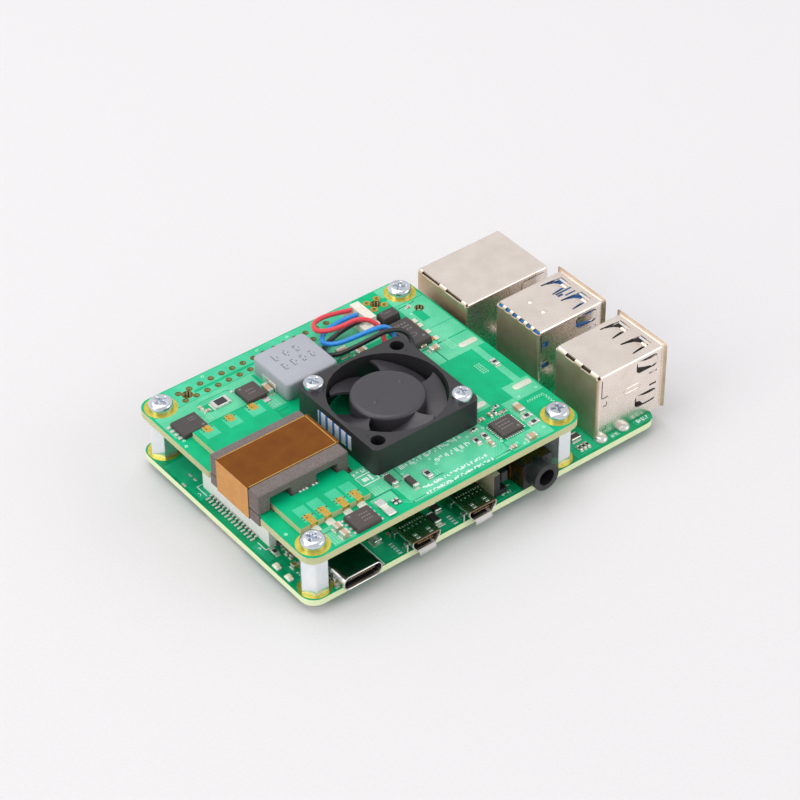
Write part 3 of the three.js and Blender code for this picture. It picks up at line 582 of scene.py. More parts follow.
# The fan's three leads: each route runs from the frame's corner to the plug.
leads = {
    "lead_red": {"length": 0.0327, "route": [
        (46.0, 36.0, 13.3), (46.7, 37.7, 13.5), (47.7, 39.6, 14.6), (48.2, 41.6, 16.2), (47.2, 43.5, 17.4),
        (44.9, 44.9, 17.8), (42.2, 45.9, 17.0), (40.0, 47.6, 15.9), (38.8, 49.9, 15.1), (39.8, 52.2, 14.7),
        (42.4, 53.1, 14.5), (45.5, 52.5, 14.5), (48.5, 51.5, 14.5)]},
    "lead_blue": {"length": 0.0330, "route": [
        (47.4, 36.0, 13.3), (48.7, 37.4, 13.4), (49.8, 38.8, 14.3), (49.9, 40.0, 15.7), (48.5, 40.7, 16.9),
        (45.4, 41.2, 17.1), (42.0, 42.5, 16.1), (39.5, 44.1, 15.1), (38.1, 46.4, 14.4), (39.4, 48.8, 14.0),
        (42.1, 49.9, 14.1), (45.3, 50.1, 14.3), (48.5, 49.6, 14.5)]},
    "lead_black": {"length": 0.0374, "route": [
        (48.7, 33.6, 13.3), (50.5, 34.3, 13.5), (51.7, 35.7, 14.2), (51.8, 37.2, 15.5), (50.4, 38.3, 16.7),
        (47.6, 39.0, 17.2), (44.3, 39.8, 16.4), (41.1, 41.0, 15.1), (38.5, 42.5, 13.9), (37.2, 44.7, 13.1),
        (38.5, 47.0, 12.8), (41.3, 48.0, 13.1), (44.9, 48.1, 13.9), (48.5, 47.7, 14.5)]}}
leadRadius = 0.5


def throughPoints(points, steps):
    # centripetal Catmull-Rom: each stretch's parameter length is the root of the distance it spans
    p = np.asarray(points, float)
    p = np.concatenate([2 * p[:1] - p[1:2], p, 2 * p[-1:] - p[-2:-1]])
    knot = np.concatenate([[0], np.cumsum(np.sqrt(np.linalg.norm(np.diff(p, axis=0), axis=1)))])
    line = []
    for i in range(1, len(p) - 2):
        t0, t1, t2, t3 = knot[i - 1:i + 3]
        t = np.linspace(t1, t2, steps, endpoint=False)[:, None]
        a1 = (t1 - t) / (t1 - t0) * p[i - 1] + (t - t0) / (t1 - t0) * p[i]
        a2 = (t2 - t) / (t2 - t1) * p[i] + (t - t1) / (t2 - t1) * p[i + 1]
        a3 = (t3 - t) / (t3 - t2) * p[i + 1] + (t - t2) / (t3 - t2) * p[i + 2]
        b1 = (t2 - t) / (t2 - t0) * a1 + (t - t0) / (t2 - t0) * a2
        b2 = (t3 - t) / (t3 - t1) * a2 + (t - t1) / (t3 - t1) * a3
        line.append((t2 - t) / (t2 - t1) * b1 + (t - t1) / (t2 - t1) * b2)
    return np.concatenate(line + [p[-2:-1]])


plug = dressNode("fan_plug", ivoryPlastic, 0.15)
for name, spec in leads.items():
    route = throughPoints(spec["route"], 6)
    lead = makePiece(name + "_insulated", tube(route, leadRadius, 14), wireSkins[name],
                     replaced=[name])
print("leads laid")


def faceMaterials(piece, *tests):
    # the first test that a face's centre and normal pass decides its material, counted from 1
    mesh = piece.data
    count = len(mesh.polygons)
    centre, normal = np.empty(count * 3), np.empty(count * 3)
    mesh.polygons.foreach_get("center", centre)
    mesh.polygons.foreach_get("normal", normal)
    centre = centre.reshape(-1, 3) * 1000 - cornerInFrame
    normal = normal.reshape(-1, 3)
    index = np.zeros(count, np.int32)
    for k, (material, test) in enumerate(tests):
        mesh.materials.append(material)
        index[(index == 0) & test(centre, normal)] = k + 1
    mesh.polygons.foreach_set("material_index", index)


def onSide(centre, normal):
    return np.abs(normal[:, 2]) < 0.5


def facesBack(centre, normal):
    return normal[:, 0] < -0.5


# Finish, slot and width of the broken edges, with the nodes that have them.
simpleNodes = [
    (bluePlastic, "blue_plastic", 0.1, ["usb_fast_insert"]),
    (blackPlastic, "black_plastic", 0.1, ["usb_plain_insert", "ethernet_insert", "pin_header", "pin_socket",
                                          "power_header", "power_socket"]),
    (blackPlastic, "black_plastic", 0.08, ["power_port_tongue", "video_port_1_tongue",
                                           "video_port_2_tongue"]),
    (blackPlastic, "black_plastic", 0.15, ["audio_jack"]),
    (whitePlastic, "white_plastic", 0.12, ["display_connector"]),
    (beigePlastic, "beige_plastic", 0.12, ["camera_connector"]),
    (ivoryPlastic, "white_plastic", 0.12, ["fan_header"]),
    (epoxy, "chip", 0.08, ["memory_chip"]),
    (lidSteel, "steel_lid", 0.25, ["processor", "wireless_shield"]),
    (nickel, "nickel_shell", 0.1, ["card_slot"]),
    (copperTab, "copper", 0.08, ["fan_stator"]),
    (filmLabel, "label", 0, ["fan_label"]),
    (ferrite, "ferrite", 0.2, ["core_lower"])]
plain = {name: dressNode(name, material, edge)
         for material, slotName, edge, names in simpleNodes for name in names}
faceMaterials(plain["camera_connector"], (blackPlastic, lambda centre, normal: centre[:, 0] > 46.05))
for name in ("display_latch", "camera_latch"):
    dressNode(name, blackPlastic, 0.1, body=name)
for i in range(1, 5):
    dressNode(f"standoff_{i}", standoffMetal, 0.12)

mainBoard = dressNode("main_board", maskMain, 0)
faceMaterials(mainBoard, (edgeMain, onSide))
powerBoard = dressNode("power_board", maskPower, 0)
faceMaterials(powerBoard, (edgePower, onSide))
print("plain nodes dressed")


def screw(x, y, seat, radius, height, shank, length, turn, down=False):
    # Head: height over (radius r, angle a) is a pan dome less a cross, whose arms are where the smaller of
    # |x| and |y| is under the arm's half width. Shank: a lathe profile that saws in and out at the thread.
    outer = np.array([1.0, 1.0, 0.985, 0.95, 0.9, 0.82, 0.72, 0.62, 0.54, 0.47, 0.41, 0.36, 0.31, 0.26, 0.21,
                      0.16, 0.11, 0.06, 0.0])
    lift = np.array([0.0, 0.42, 0.6, 0.74, 0.84, 0.93, 0.97, 0.99] + [1.0] * 11)
    sides = 72
    a = np.arange(sides) * 2 * math.pi / sides
    r, ang = np.meshgrid(outer * radius, a, indexing="ij")
    arm = np.minimum(np.abs(r * np.cos(ang - turn)), np.abs(r * np.sin(ang - turn)))
    inArm = np.clip((0.135 * radius - arm) / (0.05 * radius), 0, 1)
    inReach = np.clip((0.56 * radius - r) / (0.1 * radius), 0, 1)
    z = lift[:, None] * height - 0.42 * height * inArm * inReach
    pitch = 0.42
    turns = int(length / pitch)
    saw = [(shank * k, -pitch * (i + d)) for i in range(turns) for k, d in ((0.84, 0.0), (1.0, 0.5))]
    profile = [(0.0, 0.02), (shank * 1.02, 0.02), *saw, (shank * 0.7, -length), (0.0, -length)]
    ring = np.stack([r * np.cos(ang), r * np.sin(ang), z], 2)
    under = ring[:1] * np.array([0.0, 0.0, 1.0])
    head = (np.concatenate([under, ring]).reshape(-1, 3), gridFaces(len(outer) + 1, sides, closeColumns=True))
    stem = lathe(profile, 24)
    stem = (stem[0], [f[::-1] for f in stem[1]])
    verts, faces = gather([head, stem])
    if down:
        verts = verts * np.array([1, -1, -1])
    return verts + np.array([x, y, seat]), faces


fixingScrew = {"radius": 2.45, "height": 1.8, "shank": 1.15, "length": 5.6, "turns": (0.5, 1.1, 0.2, 0.8)}
for i, (x, y) in enumerate(fixings):
    spec = fixingScrew
    for name, seat, down in ((f"top_screw_{i + 1}", hatDeck, False), (f"bottom_screw_{i + 1}", 0.0, True)):
        makePiece(name + "_pan_head", screw(x, y, seat, spec["radius"], spec["height"], spec["shank"],
                                            spec["length"], spec["turns"][i], down),
                  zinc, replaced=[name], recalc=True)
fanScrew = {"radius": 2.05, "height": 1.5, "shank": 1.25, "length": 7.9, "turns": (0.3, 1.3)}
for i, (x, y) in enumerate([(25.9, 33.2), (45.9, 13.2)]):
    spec = fanScrew
    makePiece(f"fan_screw_{i + 1}_pan_head", screw(x, y, fanTop, spec["radius"], spec["height"],
                                                   spec["shank"],
                                                   spec["length"], spec["turns"][i]),
              zinc, replaced=[f"fan_screw_{i + 1}"], recalc=True)
print("screws made")


layer = 0.045       # how far copper under lacquer stands above bare laminate
flat = hatDeck - 0.01                   # copper and print start just inside the power board
thinTop = hatDeck + 0.02                # thin copper
traceTop = hatDeck + 0.07               # folded tracks and via rings
inkTop = hatDeck + 0.075                # print
gapTop = hatDeck + layer + 0.012        # the lines that show a gap lie just over the pours
mainFlat, mainInk = deck - 0.01, deck + 0.06        # underside and top of the main board's tracks and print
layerUnder = hatFloor - 0.05            # lower end of the plated holes and rings under the power board


def slab(x0, x1, y0, y1, z0, z1):
    # a thin box: its edges are broken by 0.02 mm, or by a third of its thickness if that is less
    return chamferedBox(x0, x1, y0, y1, z0, z1, min(0.02, (z1 - z0) / 3))


pale = [(0.5, 20.0, 43.0, 50.2), (20.0, 23.3, 38.6, 50.2), (23.3, 52.2, 42.9, 50.2), (57.6, 64.5, 49.2, 52.0),
        (53.2, 55.3, 29.3, 34.6), (55.6, 64.6, 29.3, 34.6), (53.2, 57.5, 34.9, 41.8),
        (61.4, 63.0, 16.3, 29.3), (58.2, 64.6, 11.4, 16.3), (55.1, 58.1, 0.3, 12.6), (49.2, 53.3, 13.4, 17.2),
        (24.4, 48.0, 1.35, 11.3), (18.4, 23.3, 4.0, 6.2), (6.3, 11.0, 0.4, 5.4), (20.2, 24.2, 6.5, 14.8),
        (48.3, 55.1, 0.4, 3.6), (57.5, 61.0, 53.0, 56.0), (3.2, 6.2, 38.4, 42.8)]
pours = [slab(*b, flat, hatDeck + layer) for b in pale]
square = [(59.4, 42.1), (61.3, 42.1), (61.3, 45.8), (59.4, 45.8)]
pours.append(holedPlate([(57.7, 34.9), (64.6, 34.9), (64.6, 49.0), (57.7, 49.0)],
                        [circle(61.5, 46.1, 0.98, 28), square],
                        flat, hatDeck + layer))
flatPiece("copper_pours_under_lacquer", pours, maskPour)

columns = [i for i in range(20) if i not in (15, 16)]
headerHoles = [(8.37 + pinPitch * i, y) for i in columns for y in (51.23, 53.77)]
bigHoles = [(9.64, 52.5), (55.36, 52.5), (61.5, 46.1)]
openHoles = [circle(x, y, 0.58, 18) for x, y in headerHoles if 6 < x < 51.5] + [circle(9.64, 52.5, 0.98, 28)]
openHoles = [h for h in openHoles if h[:, 0].max() < 51.9]
gpioStrip = holedPlate([(6.3, 50.3), (52.0, 50.3), (52.0, 56.0), (6.3, 56.0)], openHoles, flat,
                       hatDeck + 0.035)
makePiece("header_copper_strip", gpioStrip, maskGpio, smoothAngle=0)
middle = [slab(0.35, 2.9, 0.9, 38.0, flat, thinTop),
          slab(53.4, 57.7, 17.0, 28.9, flat, thinTop), slab(63.2, 64.5, 17.0, 28.8, flat, thinTop),
          slab(59.4, 61.3, 42.2, 45.8, flat, thinTop)]
flatPiece("inner_copper_areas", middle, maskPower)

# Tracks: sets of parallel lines given by their corner points, with a step from each to the next.
trackSets = [
    {"points": [(48.0, 5.6), (46.6, 4.0), (44.6, 1.5)], "step": (0.5, -0.2), "count": 3},
    {"points": [(44.6, 0.45), (24.6, 0.45)], "step": (0.0, 0.28), "count": 3},
    {"points": [(24.8, 0.6), (22.6, 2.7)], "step": (0.35, 0.1), "count": 3},
    {"points": [(49.6, 3.8), (49.6, 2.6), (48.5, 1.4), (46.0, 1.4)], "step": (0.45, -0.1), "count": 6},
    {"points": [(52.6, 3.8), (52.6, 3.2), (54.4, 1.2)], "step": (0.4, 0.1), "count": 3},
    {"points": [(48.2, 7.0), (47.3, 7.0), (46.9, 6.6)], "step": (0.0, 0.5), "count": 5},
    {"points": [(54.6, 6.8), (55.4, 6.8)], "step": (0.0, 0.5), "count": 6},
    {"points": [(50.2, 9.3), (50.2, 10.4)], "step": (0.5, 0.0), "count": 7},
    {"points": [(53.4, 39.4), (64.5, 39.4)], "step": (0.0, 0.0), "count": 1},
    {"points": [(6.0, 45.6), (8.6, 45.6), (9.4, 46.4), (9.4, 48.8), (16.2, 48.8)], "step": (0.4, -0.4),
     "count": 2}]
tracks = []
for spec in trackSets:
    for k in range(spec["count"]):
        line = np.array(spec["points"]) + k * np.array(spec["step"])
        tracks.append(strip(line, 0.16, flat, hatDeck + layer + 0.02))
flatPiece("signal_tracks", tracks, maskStrip)

# A fuse-like track that folds back and forth: y swings between two levels as x steps on.
zig = np.arange(15)
foldX = [np.stack([59.5 + 0.29 * zig, 9.75 + 0.6 * (zig % 2)], 1)]
foldY = [np.stack([63.2 + 0.6 * (zig[:9] % 2), 9.6 - 0.36 * zig[:9]], 1)]
flatPiece("folded_tracks", [strip(p, 0.17, flat, traceTop) for p in foldX + foldY], maskTrace)

# The gaps cut between pours show as dark lines.
cuts = [[(57.8, 48.3), (61.6, 48.3), (62.0, 48.7)], [(59.0, 39.45), (64.5, 39.45)],
        [(53.5, 34.75), (59.2, 34.75)], [(55.45, 29.4), (55.45, 33.0)],
        [(9.9, 48.9), (16.2, 48.9), (16.8, 48.3)], [(10.2, 45.4), (13.0, 45.4)],
        [(18.3, 6.35), (23.5, 6.35), (23.5, 3.9)], [(30.7, 5.9), (30.7, 4.0), (34.0, 4.0), (34.0, 5.7)],
        [(6.2, 4.3), (8.8, 4.3)], [(57.7, 43.6), (58.9, 43.6)], [(26.8, 7.1), (24.4, 7.1)],
        [(27.4, 12.0), (27.4, 7.6)]]
flatPiece("gaps_between_pours", [strip(c, 0.2, flat, gapTop) for c in cuts], maskDark)
darkPatches = [(11.2, 26.5, 52.05, 52.75), (20.6, 24.0, 0.3, 2.1), (9.9, 11.2, 45.5, 47.8),
               (20.3, 22.8, 37.4, 38.3), (22.6, 23.3, 45.9, 49.6)]
flatPiece("bare_laminate_patches", [slab(*b, flat, gapTop) for b in darkPatches], maskPower)

# Vias: little raised rings in blocks, each block a corner, a pitch and a count each way.
viaBlocks = [(58.45, 22.0, 0.55, 0.55, 3, 6), (58.5, 31.9, 0.55, 0.55, 3, 6), (6.6, 1.0, 0.6, 0.6, 3, 5),
             (20.3, 6.9, 0.6, 0.5, 4, 4), (33.0, 4.3, 0.5, 0.5, 3, 3), (41.2, 43.4, 0.6, 0.6, 4, 3),
             (44.4, 0.9, 0.45, 0.0, 8, 1), (25.2, 0.9, 0.45, 0.0, 20, 1), (20.6, 39.2, 0.7, 0.7, 3, 3),
             (8.9, 43.8, 0.6, 0.6, 2, 4)]
singleVias = [(1.1, 8.5), (34.6, 6.8), (34.4, 8.6), (52.9, 17.4), (44.0, 9.2), (47.9, 9.4), (48.3, 4.2),
              (0.8, 40.0), (1.4, 41.6), (60.2, 48.0), (58.9, 45.4), (27.8, 8.4), (15.0, 55.2), (28.0, 55.2),
              (35.2, 55.0), (50.2, 2.0), (51.3, 1.0), (57.2, 2.4), (63.6, 12.4), (59.2, 12.2), (31.6, 9.4),
              (40.6, 6.6)]
viaPlaces = [(x + px * i, y + py * j) for x, y, px, py, nx, ny in viaBlocks
             for i in range(nx) for j in range(ny)]
viaRings = [ringPlate(x, y, flat, traceTop, 0.07, 0.19, 10) for x, y in viaPlaces]
viaRings += [ringPlate(x, y, flat, traceTop, 0.1, 0.36, 14) for x, y in singleVias]
flatPiece("via_rings", viaRings, maskTrace)

# Header holes: a plated sleeve in each hole and a narrow bare collar on top.
def sleeve(x, y, bore, collar, z0, z1, count):
    # section of a plated hole: collar underneath, wall, collar on top
    profile = [(bore - 0.04, z0), (collar, z0), (collar, z0 + 0.04), (bore, z0 + 0.06), (bore, z1 - 0.06),
               (collar, z1 - 0.04), (collar, z1), (bore - 0.04, z1)]
    verts, faces = lathe(profile, count, (x, y, 0))
    return verts, gridFaces(len(profile), count, closeRows=True, closeColumns=True)


sleeves = [sleeve(x, y, 0.5, 0.66, layerUnder, hatDeck + 0.06, 20) for x, y in headerHoles]
sleeves += [sleeve(x, y, 0.9, 1.12, layerUnder, hatDeck + 0.06, 28) for x, y in bigHoles[:2]]
sleeves.append(sleeve(61.5, 46.1, 0.9, 1.0, layerUnder, hatDeck + 0.06, 28))
makePiece("plated_hole_sleeves", gather(sleeves), plated)

fixingRings = [ringPlate(x, y, flat, hatDeck + 0.05, 1.45, 3.3, 64) for x, y in fixings]
fixingRings += [ringPlate(x, y, layerUnder, hatFloor + 0.01, 1.45, 3.1, 64) for x, y in fixings]
makePiece("power_board_fixing_rings", gather(fixingRings), ringGold)
cornerRings = [ringPlate(55.36 + sx * 1.27, 52.5 + sy * 1.27, flat, hatDeck + 0.08, 0.42, 0.78, 20)
               for sx in (-1, 1) for sy in (-1, 1)]
makePiece("corner_hole_collars", gather(cornerRings), gold)

tinSlots = [(59.9, 64.3, 13.95, 15.5), (59.9, 64.3, 30.6, 32.1), (49.9, 53.1, 14.2, 15.75)]
slotShapes = [softPrism(roundedRectangle(x0, x1, y0, y1, 0.7), flat, hatDeck + 0.16, 0.1)
              for x0, x1, y0, y1 in tinSlots]
makePiece("tinned_slot_pads", gather(slotShapes), solderPaste)
print("power board copper laid")


# Print: plain outlines and rows of strokes stand where the object carries text.

def barRow(x0, x1, y0, y1, count, seed):
    # thin upright strokes in twos and threes, some cut short, stand in for a line of print
    rng = np.random.default_rng(seed)
    room = (x1 - x0) / count
    stroke = min(0.22, room * 0.3)
    bars = []
    for left in np.linspace(x0, x1, count, endpoint=False):
        for k in range(rng.integers(2, 4)):
            a = left + k * room * 0.31
            low, high = rng.choice([[0.0, 1.0], [0.0, 0.45], [0.55, 1.0], [0.2, 0.8]])
            bars.append(slab(a, a + stroke, y0 + (y1 - y0) * low, y0 + (y1 - y0) * high, flat, inkTop))
    return bars


def frameLine(x0, x1, y0, y1, width, level):
    corners = [(x0, y0), (x1, y0), (x1, y1), (x0, y1)]
    return [strip([corners[i], corners[(i + 1) % 4]], width, level - 0.06, level + 0.075) for i in range(4)]


printed = barRow(28.4, 43.6, 9.5, 10.6, 13, 3) + barRow(35.0, 43.4, 7.0, 8.2, 7, 5)
printed += barRow(28.5, 43.8, 2.5, 3.3, 19, 7) + barRow(28.0, 44.2, 0.95, 1.7, 20, 9)
printed += barRow(20.2, 23.2, 13.3, 14.2, 3, 11) + barRow(20.9, 23.3, 10.6, 12.3, 3, 13)
printed += frameLine(20.0, 23.9, 10.15, 12.75, 0.22, hatDeck)
flatPiece("board_print_bars_and_frames", printed, silk)
print("print laid")


# Small soldered parts are gathered by finish, and each finish becomes one piece.
partFinishes = {"black": (epoxy, "chip"), "tan": (ceramic, "beige_plastic"), "tin": (tin, "zinc"),
                "glaze": (resistorTop, "chip"), "paste": (solderPaste, "zinc"), "mark": (chipMark, "chip"),
                "silk": (silk, "main_board"), "gold": (ringGold, "copper"),
                "white": (whitePlastic, "white_plastic")}
bins = {kind: [] for kind in partFinishes}


# One piece for each finish that has parts waiting.
def emptyBins(board):
    for kind, (material, slotName) in partFinishes.items():
        if bins[kind]:
            makePiece(f"{board}_parts_{kind}", gather(bins[kind]), material,
                      smoothAngle=30)


def chipPart(z, x0, x1, y0, y1, height, along, kind, share):
    # a body between two tinned end caps; the caps stand slightly proud all round
    body = [x0, x1, y0, y1]
    a = 0 if along == "x" else 2
    length = body[a + 1] - body[a]
    for side in (0, 1):
        cap = list(body)
        cap[a + 1 - side] = body[a + side] + (length * share if side == 0 else -length * share)
        cap = [min(cap[0], cap[1]) - 0.02, max(cap[0], cap[1]) + 0.02, min(cap[2], cap[3]) - 0.02,
               max(cap[2], cap[3]) + 0.02]
        bins["tin"].append(chamferedBox(*cap, z, z + height + 0.03, 0.09))
        pad = list(cap)
        pad[a], pad[a + 1] = (pad[a] - 0.25, pad[a + 1]) if side == 0 else (pad[a], pad[a + 1] + 0.25)
        bins["paste"].append(chamferedBox(*pad, z - 0.02, z + 0.14, 0.06))
    if kind == "glaze":
        # a resistor is a white ceramic slip with the dark glaze lying on its middle
        bins["white"].append(chamferedBox(*body, z + 0.03, z + height - 0.04, 0.04))
        rim = 0.1 * min(x1 - x0, y1 - y0)
        end = length * share * 0.95
        ix, iy = (rim, end) if a else (end, rim)
        inner = [x0 + ix, x1 - ix, y0 + iy, y1 - iy]
        bins[kind].append(chamferedBox(*inner, z + height * 0.5, z + height + 0.05, 0.04))
    else:
        bins[kind].append(chamferedBox(*body, z + 0.03, z + height, 0.05))


# Each row: box in plan, height, the way it lies, its finish, and the share of its length in each end cap.
powerParts = [
    (11.3, 15.0, 45.3, 47.5, 0.6, "x", "glaze", 0.2), (30.8, 32.0, 4.3, 6.5, 0.55, "y", "glaze", 0.3),
    (43.95, 45.0, 6.0, 8.0, 0.5, "y", "glaze", 0.3), (46.0, 47.05, 6.0, 8.0, 0.5, "y", "glaze", 0.3),
    (55.5, 57.6, 6.2, 7.2, 0.5, "x", "glaze", 0.3), (55.4, 57.6, 4.0, 5.0, 0.5, "x", "glaze", 0.3),
    (61.5, 62.7, 22.1, 24.0, 0.55, "y", "glaze", 0.34), (45.8, 46.6, 4.0, 5.4, 0.6, "y", "tan", 0.28),
    (56.0, 57.4, 8.1, 10.6, 0.9, "y", "tan", 0.26), (52.3, 54.3, 0.7, 2.0, 0.9, "x", "tan", 0.26),
    (48.5, 49.6, 10.9, 11.6, 0.5, "x", "tan", 0.28), (51.0, 51.6, 10.7, 11.9, 0.45, "y", "tan", 0.28),
    (52.1, 52.7, 10.8, 12.0, 0.45, "y", "glaze", 0.3), (53.1, 54.2, 12.2, 12.8, 0.45, "x", "glaze", 0.3),
    (45.3, 46.7, 9.4, 10.2, 0.5, "x", "glaze", 0.3), (48.3, 49.5, 1.0, 1.8, 0.5, "x", "tan", 0.3),
    (8.5, 10.1, 3.0, 4.5, 1.2, "x", "tan", 0.3), (8.4, 10.0, 0.8, 2.3, 1.2, "x", "tan", 0.3),
    (53.4, 54.9, 35.2, 36.2, 0.7, "x", "tan", 0.3), (54.4, 56.6, 33.1, 34.3, 0.8, "x", "tan", 0.3),
    (24.2, 25.4, 6.3, 9.8, 1.0, "y", "black", 0.16), (26.9, 28.1, 3.5, 7.1, 1.0, "y", "black", 0.16),
    (53.1, 53.7, 10.2, 10.9, 0.4, "x", "tan", 0.3), (54.0, 54.6, 10.3, 11.0, 0.4, "x", "glaze", 0.3),
    (21.9, 23.0, 42.4, 45.2, 1.1, "y", "tan", 0.26), (39.3, 41.6, 42.6, 44.6, 1.3, "y", "tan", 0.28),
    (42.2, 44.6, 40.9, 42.2, 1.3, "x", "tan", 0.28), (40.0, 42.0, 38.6, 39.8, 1.1, "x", "tan", 0.28),
    (8.9, 9.6, 46.8, 47.9, 0.4, "y", "tan", 0.3), (9.3, 10.4, 45.7, 46.3, 0.4, "x", "tan", 0.3),
    (59.3, 60.2, 47.2, 47.8, 0.4, "x", "tan", 0.3)]
for part in powerParts:
    chipPart(hatDeck, *part)

# four little resistors in one block, and the large two-ended tin block beside the input chip
for i in range(2):
    for j in range(2):
        bins["tin"].append(chamferedBox(21.45 + i * 0.85, 22.05 + i * 0.85, 2.2 + j * 1.0, 2.75 + j * 1.0,
                                        hatDeck,
                                        hatDeck + 0.45, 0.06))
bins["glaze"].append(chamferedBox(21.6, 22.75, 2.4, 3.6, hatDeck, hatDeck + 0.4, 0.05))
bins["tin"] += [chamferedBox(18.6, 20.4, 0.4, 2.3, hatDeck, hatDeck + 0.55, 0.12),
                chamferedBox(18.6, 20.4, 3.2, 5.2, hatDeck, hatDeck + 0.55, 0.12)]
bins["paste"].append(chamferedBox(18.75, 20.25, 2.1, 3.4, hatDeck, hatDeck + 0.5, 0.08))


# A moulded package: sides lean in a little to the top, the rim is broken, and a round mark shows pin one.
def package(name, z, x0, x1, y0, y1, height, lean, finish, mx, my, mr):
    rings = [(0, 0.0), (0, height * 0.45), (lean, height - 0.08), (lean + 0.08, height)]
    verts = []
    for d, dz in rings:
        ring = roundedRectangle(x0 + d, x1 - d, y0 + d, y1 - d, 0.12, 3)
        verts.append(np.c_[ring, np.full(len(ring), z + dz)])
    n = len(verts[0])
    faces = [tuple(f) for f in gridFaces(len(rings), n, closeColumns=True)]
    faces += [tuple(range(n - 1, -1, -1)), tuple(range((len(rings) - 1) * n, len(rings) * n))]
    makePiece(name + "_moulded", (np.concatenate(verts), faces), finish,
              replaced=[name] if name in nodes else ())
    upper, lower = z + height + 0.012, z + height - 0.005
    bins["mark"].append(lathe([(0.0, upper), (mr * 0.8, upper), (mr, lower), (0.0, lower)], 20, (mx, my, 0)))


# Each row: box in plan, height, lean of the sides, finish, and the round mark's place and radius.
packages = {"power_chip_1": (1.6, 7.3, 41.7, 46.7, 1.0, 0.1, epoxy, 6.5, 42.5, 0.3),
            "power_chip_2": (17.0, 21.5, 42.4, 47.3, 1.0, 0.08, epoxyGrey, 17.8, 46.5, 0.3),
            "power_chip_3": (11.5, 17.0, 0.4, 5.1, 1.0, 0.08, epoxyGrey, 12.3, 4.3, 0.3),
            "controller_chip": (48.9, 54.0, 4.4, 9.1, 0.8, 0.06, epoxyGrey, 53.2, 5.2, 0.32),
            "rectifier": (51.4, 56.6, 35.6, 44.0, 1.7, 0.16, epoxy, 55.5, 37.0, 0.35),
            "surge_box": (51.6, 55.8, 44.7, 47.5, 2.5, 0.2, epoxy, 52.6, 46.8, 0.2)}
for name, row in packages.items():
    package(name, hatDeck, *row)

# print on the chips: short dashes in two or three rows
dashRows = [(49.9, 52.9, 6.0, 0.35, 5, 0.8), (49.9, 52.9, 6.9, 0.35, 4, 0.8), (49.9, 52.9, 7.8, 0.35, 5, 0.8),
            (52.4, 55.4, 42.2, 0.4, 4, 1.7), (52.4, 55.4, 41.2, 0.4, 5, 1.7), (52.4, 55.4, 40.2, 0.4, 4, 1.7),
            (18.4, 20.2, 44.2, 0.3, 4, 1.0), (18.4, 20.2, 45.2, 0.3, 3, 1.0), (4.9, 6.6, 45.4, 0.25, 4, 1.0),
            (4.9, 6.6, 44.7, 0.25, 4, 1.0), (13.9, 16.1, 1.6, 0.3, 4, 1.0), (13.9, 16.1, 2.5, 0.3, 4, 1.0),
            (13.9, 16.1, 3.4, 0.3, 4, 1.0), (53.0, 54.6, 46.2, 0.3, 3, 2.5)]
for x0, x1, y, tall, count, high in dashRows:
    room, level = (x1 - x0) / count, hatDeck + high
    bins["mark"] += [chamferedBox(x0 + room * k, x0 + room * (k + 0.62), y, y + tall, level - 0.01,
                                  level + 0.012, 0.004)
                     for k in range(count)]
ovalVerts, ovalFaces = ringPlate(0, 0, -0.01, 0.012, 0.55, 0.72, 28)
bins["mark"].append(moved((ovalVerts * np.array([1.3, 0.8, 1.0]), ovalFaces), (53.9, 38.4, hatDeck + 1.7)))

# leads and pads of the chips, in rows: first one's box, step, count
leadRows = [
    ((0.75, 1.75, 42.2, 42.85), (0, 1.27), 4, 0.28), ((7.2, 7.75, 42.2, 42.85), (0, 1.27), 4, 0.18),
    ((17.5, 18.05, 47.3, 48.0), (1.27, 0), 3, 0.2), ((16.4, 17.0, 47.5, 48.2), (0, 0), 1, 0.2),
    ((17.2, 21.4, 41.0, 42.35), (0, 0), 1, 0.24), ((10.85, 11.5, 0.7, 1.25), (0, 1.27), 4, 0.2),
    ((17.0, 17.6, 0.7, 1.25), (0, 1.27), 4, 0.2), ((48.25, 48.9, 4.62, 4.88), (0, 0.5), 9, 0.2),
    ((54.0, 54.65, 4.62, 4.88), (0, 0.5), 9, 0.2), ((49.32, 49.58, 3.75, 4.4), (0.5, 0), 9, 0.2),
    ((49.32, 49.58, 9.1, 9.75), (0.5, 0), 9, 0.2), ((51.4, 52.4, 47.5, 49.1), (0, 0), 1, 0.5)]
for box, step, count, high in leadRows:
    for k in range(count):
        x0, x1, y0, y1 = box
        bins["tin"].append(chamferedBox(x0 + step[0] * k, x1 + step[0] * k, y0 + step[1] * k,
                                        y1 + step[1] * k,
                                        hatDeck - 0.02, hatDeck + high, 0.06))
copperFeet = [chamferedBox(56.6, 57.7, y, y + 1.1, hatDeck, hatDeck + 0.35, 0.1)
              for y in (36.1, 38.6, 41.2, 42.9)]
bins["paste"] += [chamferedBox(57.5, 58.6, y - 0.35, y + 0.9, hatDeck, hatDeck + 0.3, 0.12)
                  for y in (36.1, 38.6, 41.2, 42.9)]
makePiece("rectifier_copper_feet", gather(copperFeet), copperTab)

emptyBins("power_board")
print("power board parts placed")


dressNode("core_upper", ferrite, 0.42, bevelSteps=1)
tape = dressNode("core_tape", tapeTop, 0.0)
# the faces turned to the back take the amber copy of the tape: painted glow of light getting in from the side
faceMaterials(tape, (tapeSidePaintedGlow, facesBack))
coreTop = 16.9
tapeSides = (18.5, 28.48)
# thin bright slabs along each cut edge of the tape: a painted highlight line
tapeHighlightSlabs = [slab(0.25, 20.6, y, y + 0.22, coreTop + 0.02, coreTop + 0.15) for y in tapeSides]
tapeHighlightSlabs += [slab(-0.13, -0.02, y, y + 0.22, 10.0, coreTop - 0.2) for y in tapeSides]
tapeHighlightSlabs.append(slab(20.2, 20.42, 18.5, 28.7, coreTop + 0.02, coreTop + 0.15))
flatPiece("tape_edge_painted_highlights", tapeHighlightSlabs, tapeEdgeHighlight)

